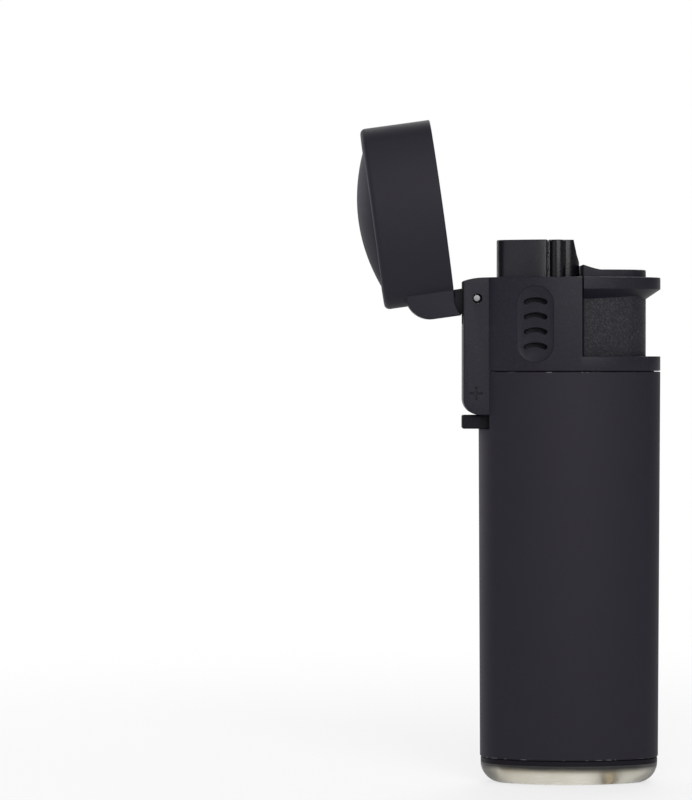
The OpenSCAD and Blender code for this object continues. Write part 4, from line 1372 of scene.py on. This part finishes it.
# %% Burner tube and flame holder
BURNER_R, BURNER_BORE, BURNER_LOW, BURNER_TOP = 2.2, 1.9, 65.5, 73.9
HOLDER_LOW, HOLDER_THICK = BURNER_TOP - 2.7, 1
HOLES, HOLES_R, HOLE_R, MIDDLE_HOLE_R = 6, 1.2, 0.28, 0.45


def turned_tree():
    """Repeats its input about an upright axis, at even angles."""
    tree, given = new_tree("turned_ring", {"Count": "Int", "Radius": "Float", "Material": "Material"})
    board = Wire(tree)
    ring = board.node("GeometryNodeMeshCircle", {}, {"Vertices": given["Count"], "Radius": given["Radius"]})
    holes = board.node("GeometryNodeInstanceOnPoints", {}, {"Points": ring, "Instance": given["Geometry"]})
    end_tree(holes, given["Material"])
    return tree


down_burner = straight(BURNER_CUT, HIGH)
tube = post(BURNER_X, BURNER_R, soft_levels(BURNER_LOW, BURNER_TOP, 0.05, 0.1))
tube = combine(tube, post(BURNER_X, BURNER_BORE, down_burner))
piece("burner_tube", tube, [STEEL], "lighter_body")

hole = prism(circle(0, 0, HOLE_R, 20), straight(-5, 5))
holes = run_tree(turned_tree(), hole, {"Count": HOLES, "Radius": HOLES_R, "Material": STEEL})
holes.transform(Matrix.Translation((BURNER_X, 0, HOLDER_LOW)))
disc = post(BURNER_X, BURNER_BORE - 0.02, soft_levels(HOLDER_LOW, HOLDER_LOW + HOLDER_THICK, 0.05, 0.08))
disc = combine(disc, holes)
disc = combine(disc, prism(circle(BURNER_X, 0, MIDDLE_HOLE_R, 32), down_burner))
piece("flame_holder", disc, [STEEL], "lighter_body")

# %% [markdown]
# ## A tree for coil springs
# A coil is round wire bent along a spiral. It could be modelled as one turn with an Array
# modifier, but its ends would then stay open. A small tree sweeps a circle along a spiral
# curve and closes the ends, with the coil's sizes as its inputs.

# %% Coil tree
COIL_STEPS, WIRE_STEPS = 24, 12


def coil_tree():
    tree, given = new_tree("wire_coil", {
        "Turns": "Float", "Radius": "Float", "Rise": "Float", "Wire": "Float", "Material": "Material",
    })
    board = Wire(tree)
    path = board.node("GeometryNodeCurveSpiral", {}, {
        "Resolution": COIL_STEPS, "Rotations": given["Turns"], "Start Radius": given["Radius"],
        "End Radius": given["Radius"], "Height": given["Rise"],
    })
    ring = board.node("GeometryNodeCurvePrimitiveCircle", {}, {
        "Resolution": WIRE_STEPS, "Radius": given["Wire"],
    })
    swept = board.node("GeometryNodeCurveToMesh", {}, {"Curve": path, "Profile Curve": ring, "Fill Caps": True})
    end_tree(swept, given["Material"])
    return tree


COIL = coil_tree()
print("coil tree has", len(COIL.nodes), "nodes")

# %% [markdown]
# ## Springs and hose
# Four coil springs bring back the button, the hammer, the gas nozzle and the refill valve,
# and a short rubber hose takes the gas on from the nozzle. The springs could be built one
# by one, but they differ only in their sizes, so these stand in one table and a loop runs
# the tree for each row. The hose is a post with a bore.

# %% Springs and hose
PIEZO_X = 5.75
HOSE_LOW, HOSE_TOP, HOSE_R, HOSE_BORE = 52.4, 56.0, 1.25, 0.62
# x, low end, high end, coil radius, wire radius, turns
SPRINGS = {
    "piezo_spring": (PIEZO_X, 58.5, 64.5, 2.0, 0.17, 4),
    "hammer_spring": (PIEZO_X, 57.0, 64.4, 0.95, 0.15, 7),
    "valve_spring": (BURNER_X, 43.5, 46.0, 1.17, 0.12, 3),
    "refill_spring": (REFILL_X, 3.2, 6.2, 0.8, 0.12, 4),
}
springs = {}
for name, (x, low, high, radius, wire, turns) in SPRINGS.items():
    coil = run_tree(COIL, bpy.data.meshes.new("empty"), {
        "Turns": turns, "Radius": radius, "Rise": high - low - 2 * wire, "Wire": wire, "Material": STEEL,
    })
    coil.transform(Matrix.Translation((x, 0, low + wire)))
    springs[name] = piece(name, coil, [STEEL], "lighter_body")

hose = post(BURNER_X, HOSE_R, soft_levels(HOSE_LOW, HOSE_TOP, 0.1, 0.1))
hose = combine(hose, post(BURNER_X, HOSE_BORE, straight(50, 60)))
hose_obj = piece("gas_hose", hose, [RUBBER], "lighter_body")

# %% [markdown]
# ## The springs' anchors
# A stiff coil would stand inside its neighbour when the button is down, so each one would
# need to be pressed shorter as its joint moves. Here each spring and the hose only get a
# mesh of their own, and a height is worked out for each as its anchor, the point that would
# keep its place. Both ends of the hammer's spring move down, so its anchor lies below it.

# %% Own meshes and anchors
BUTTON_TRAVEL, HAMMER_TRAVEL, NOZZLE_TRAVEL, POPPET_TRAVEL = 4.0, 1.896, 0.9, 0.8


def pressed(obj, anchor, length, travel):
    """Gives a piece its own copy of its mesh."""
    spot = tuple(MM * v for v in (0, 0, anchor))
    1 - travel / length
    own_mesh(obj)


ends = {name: row[1:3] for name, row in SPRINGS.items()}
length = {name: high - low for name, (low, high) in ends.items()}
squeeze = BUTTON_TRAVEL - HAMMER_TRAVEL
hammer_anchor = ends["hammer_spring"][0] - HAMMER_TRAVEL * length["hammer_spring"] / squeeze
for name, joint, anchor, travel in (
    ("piezo_spring", "button_press", ends["piezo_spring"][0], BUTTON_TRAVEL),
    ("hammer_spring", "button_press", hammer_anchor, squeeze),
    ("valve_spring", "nozzle_lift", ends["valve_spring"][1], NOZZLE_TRAVEL),
    ("refill_spring", "refill_push", ends["refill_spring"][1], POPPET_TRAVEL),
):
    pressed(springs[name], anchor, length[name], travel)
pressed(hose_obj, HOSE_TOP, HOSE_TOP - HOSE_LOW, NOZZLE_TRAVEL)
print("pressed by their joints:", len(springs) + 1, "pieces")

# %% [markdown]
# ## Pieces that stay as they are
# The other inner pieces already have their true shape in the frame. They could be rebuilt
# too, but that would show nothing new. They mostly hide, but a vent, the clear base or the
# gap round the button may show one, so a table gives each the finish of its own stuff.

# %% Finishes for the inner pieces
INNER = {
    CLEAR: ["fuel_tank"],
    BRASS: ["refill_valve", "refill_poppet", "valve_body", "gas_nozzle", "mixer_tube", "jet_orifice"],
    STEEL: [
        "gas_lever", "gas_lever_pin", "spark_electrode", "piezo_anvil", "piezo_hammer", "hinge_leaf_spring",
    ],
    RUBBER: ["refill_seal", "valve_seal", "valve_pad", "ignition_wire"],
    NATURAL: ["piezo_case", "piezo_plunger", "fuel_wick"],
    FIRED: ["piezo_crystal"],
    MOULDED: ["mechanism_frame"],
}
for material, names in INNER.items():
    for name in names:
        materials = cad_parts[name].data.materials
        materials.clear()
        materials.append(material)
print("inner pieces finished:", sum(len(names) for names in INNER.values()))

# %% [markdown]
# ## The floor
# The lighter stands on a pale table that runs into white. The floor could be plain white,
# but then it would lose its shadow, and a shaded floor would end in a grey horizon. So it
# mixes its own shaded colour with pure white, by a share that grows with distance, and
# keeps the shadow near the lighter.

# %% Floor
FLOOR_SIZE, FLOOR_CELLS = 6.0, 24
FADE_START, FADE_END, FADE_LEAST = 0.04, 0.22, 0.7
WHITE = (1.0, 1.0, 1.0, 1.0)


def seen_directly(board):
    """1 for camera, mirror and glass rays, and 0 for light that is on its way to a surface."""
    path = board.node("ShaderNodeLightPath")
    seen = path.other("Is Camera Ray") + path.other("Is Glossy Ray") + path.other("Is Transmission Ray")
    return board.maths("MINIMUM", seen, 1.0)


bm = bmesh.new()
bmesh.ops.create_grid(bm, x_segments=FLOOR_CELLS, y_segments=FLOOR_CELLS, size=FLOOR_SIZE)
floor_mesh = bpy.data.meshes.new("floor")
bm.to_mesh(floor_mesh)
bm.free()
floor = bpy.data.objects.new("floor", floor_mesh)
scene.collection.objects.link(floor)
pale, board, shader = new_finish("pale_floor", {"Base Color": (0.86, 0.86, 0.86, 1.0), "Roughness": 0.9})
away = board.node("ShaderNodeVectorMath", {"operation": "LENGTH"}, {0: own_spot(board)}, out="Value")
fade = smooth_step(board, away, FADE_START, FADE_END, FADE_LEAST)
white = board.node("ShaderNodeEmission", {}, {"Color": WHITE, "Strength": 1.0})
shaded = Wire(pale.node_tree, shader.outputs[0])
mixed = board.node("ShaderNodeMixShader", {}, {0: seen_directly(board) * fade, 1: shaded, 2: white})
pale.node_tree.links.new(mixed.socket, pale.node_tree.nodes["Material Output"].inputs["Surface"])
floor_mesh.materials.append(pale)
print("floor fades to white between", FADE_START, "and", FADE_END, "m")

# %% [markdown]
# ## The surround
# A white sweep stands behind the lighter in a dimmer room, with a dark flag at the right.
# They could be large meshes, but the world's background does the same with one formula on
# the direction of a ray. The camera sees plain white, mirrors and glass see the sweep with
# the flag, and as a light everything stays at the room's level.

# %% Surround
ROOM_LEVEL = 0.22
SWEEP_START, SWEEP_END = -0.2, 0.4
FLAG_START, FLAG_END, FLAG_SHARE = 0.45, 0.8, 0.7

world = bpy.data.worlds.new("surround")
scene.world = world
world.use_nodes = True
board = Wire(world.node_tree)
aim = board.node("ShaderNodeTexCoord").other("Generated")
aim_parts = board.node("ShaderNodeSeparateXYZ", {}, {0: aim})
sweep = smooth_step(board, aim_parts.other("Y"), SWEEP_START, SWEEP_END)
flag = smooth_step(board, aim_parts.other("X"), FLAG_START, FLAG_END, 0.0, FLAG_SHARE)
camera_ray = board.node("ShaderNodeLightPath").other("Is Camera Ray")
share = board.maths("MAXIMUM", camera_ray, seen_directly(board) * (sweep * (1 - flag)))
backdrop = world.node_tree.nodes["Background"]
backdrop.inputs["Color"].default_value = WHITE
plug(world.node_tree, backdrop.inputs["Strength"], share * (1.0 - ROOM_LEVEL) + ROOM_LEVEL)
print("surround is white behind the lighter and", ROOM_LEVEL, "in the room")

# %% [markdown]
# ## The lamps
# Soft lamps do the shaping: a large one in front, cool ones at the left that draw the
# edges of the black plastic, a weak one on top and one behind for the upper rims. Small
# hard lamps would make sharp glints that a matt coat doesn't show. All face the
# lighter's middle, so one function makes them and a table holds their places.

# %% Lamps
LAMP_AIM = Vector((0, 0, 0.045))
PLAIN, COOL = (1.0, 1.0, 1.0), (0.92, 0.88, 1.0)


def lamp(name, place, size, power, colour):
    """A square soft lamp that faces the lighter."""
    light = bpy.data.lights.new(name, "AREA")
    light.size = size
    light.energy = power
    light.color = colour
    obj = bpy.data.objects.new(name, light)
    obj.location = place
    obj.rotation_euler = (LAMP_AIM - Vector(place)).to_track_quat("-Z", "Y").to_euler()
    scene.collection.objects.link(obj)


# name, place, side, power, colour
for row in (
    ("front_lamp", (0.14, -0.88, 0.50), 0.8, 8.4, PLAIN),
    ("left_front_lamp", (-0.75, -0.6, 0.35), 0.5, 0.9, COOL),
    ("left_lamp", (-0.8, 0.5, 0.3), 0.6, 3.4, COOL),
    ("top_lamp", (0.0, -0.1, 0.9), 0.6, 0.2, PLAIN),
    ("back_lamp", (0.25, 0.85, 0.85), 0.8, 6.0, PLAIN),
):
    lamp(*row)

# %% [markdown]
# ## The view
# The view stays plain, so a colour shows as it is written; a film look would be kinder to
# bright spots, but would shift the blacks.

# %% Finish
scene.view_settings.view_transform = "Standard"
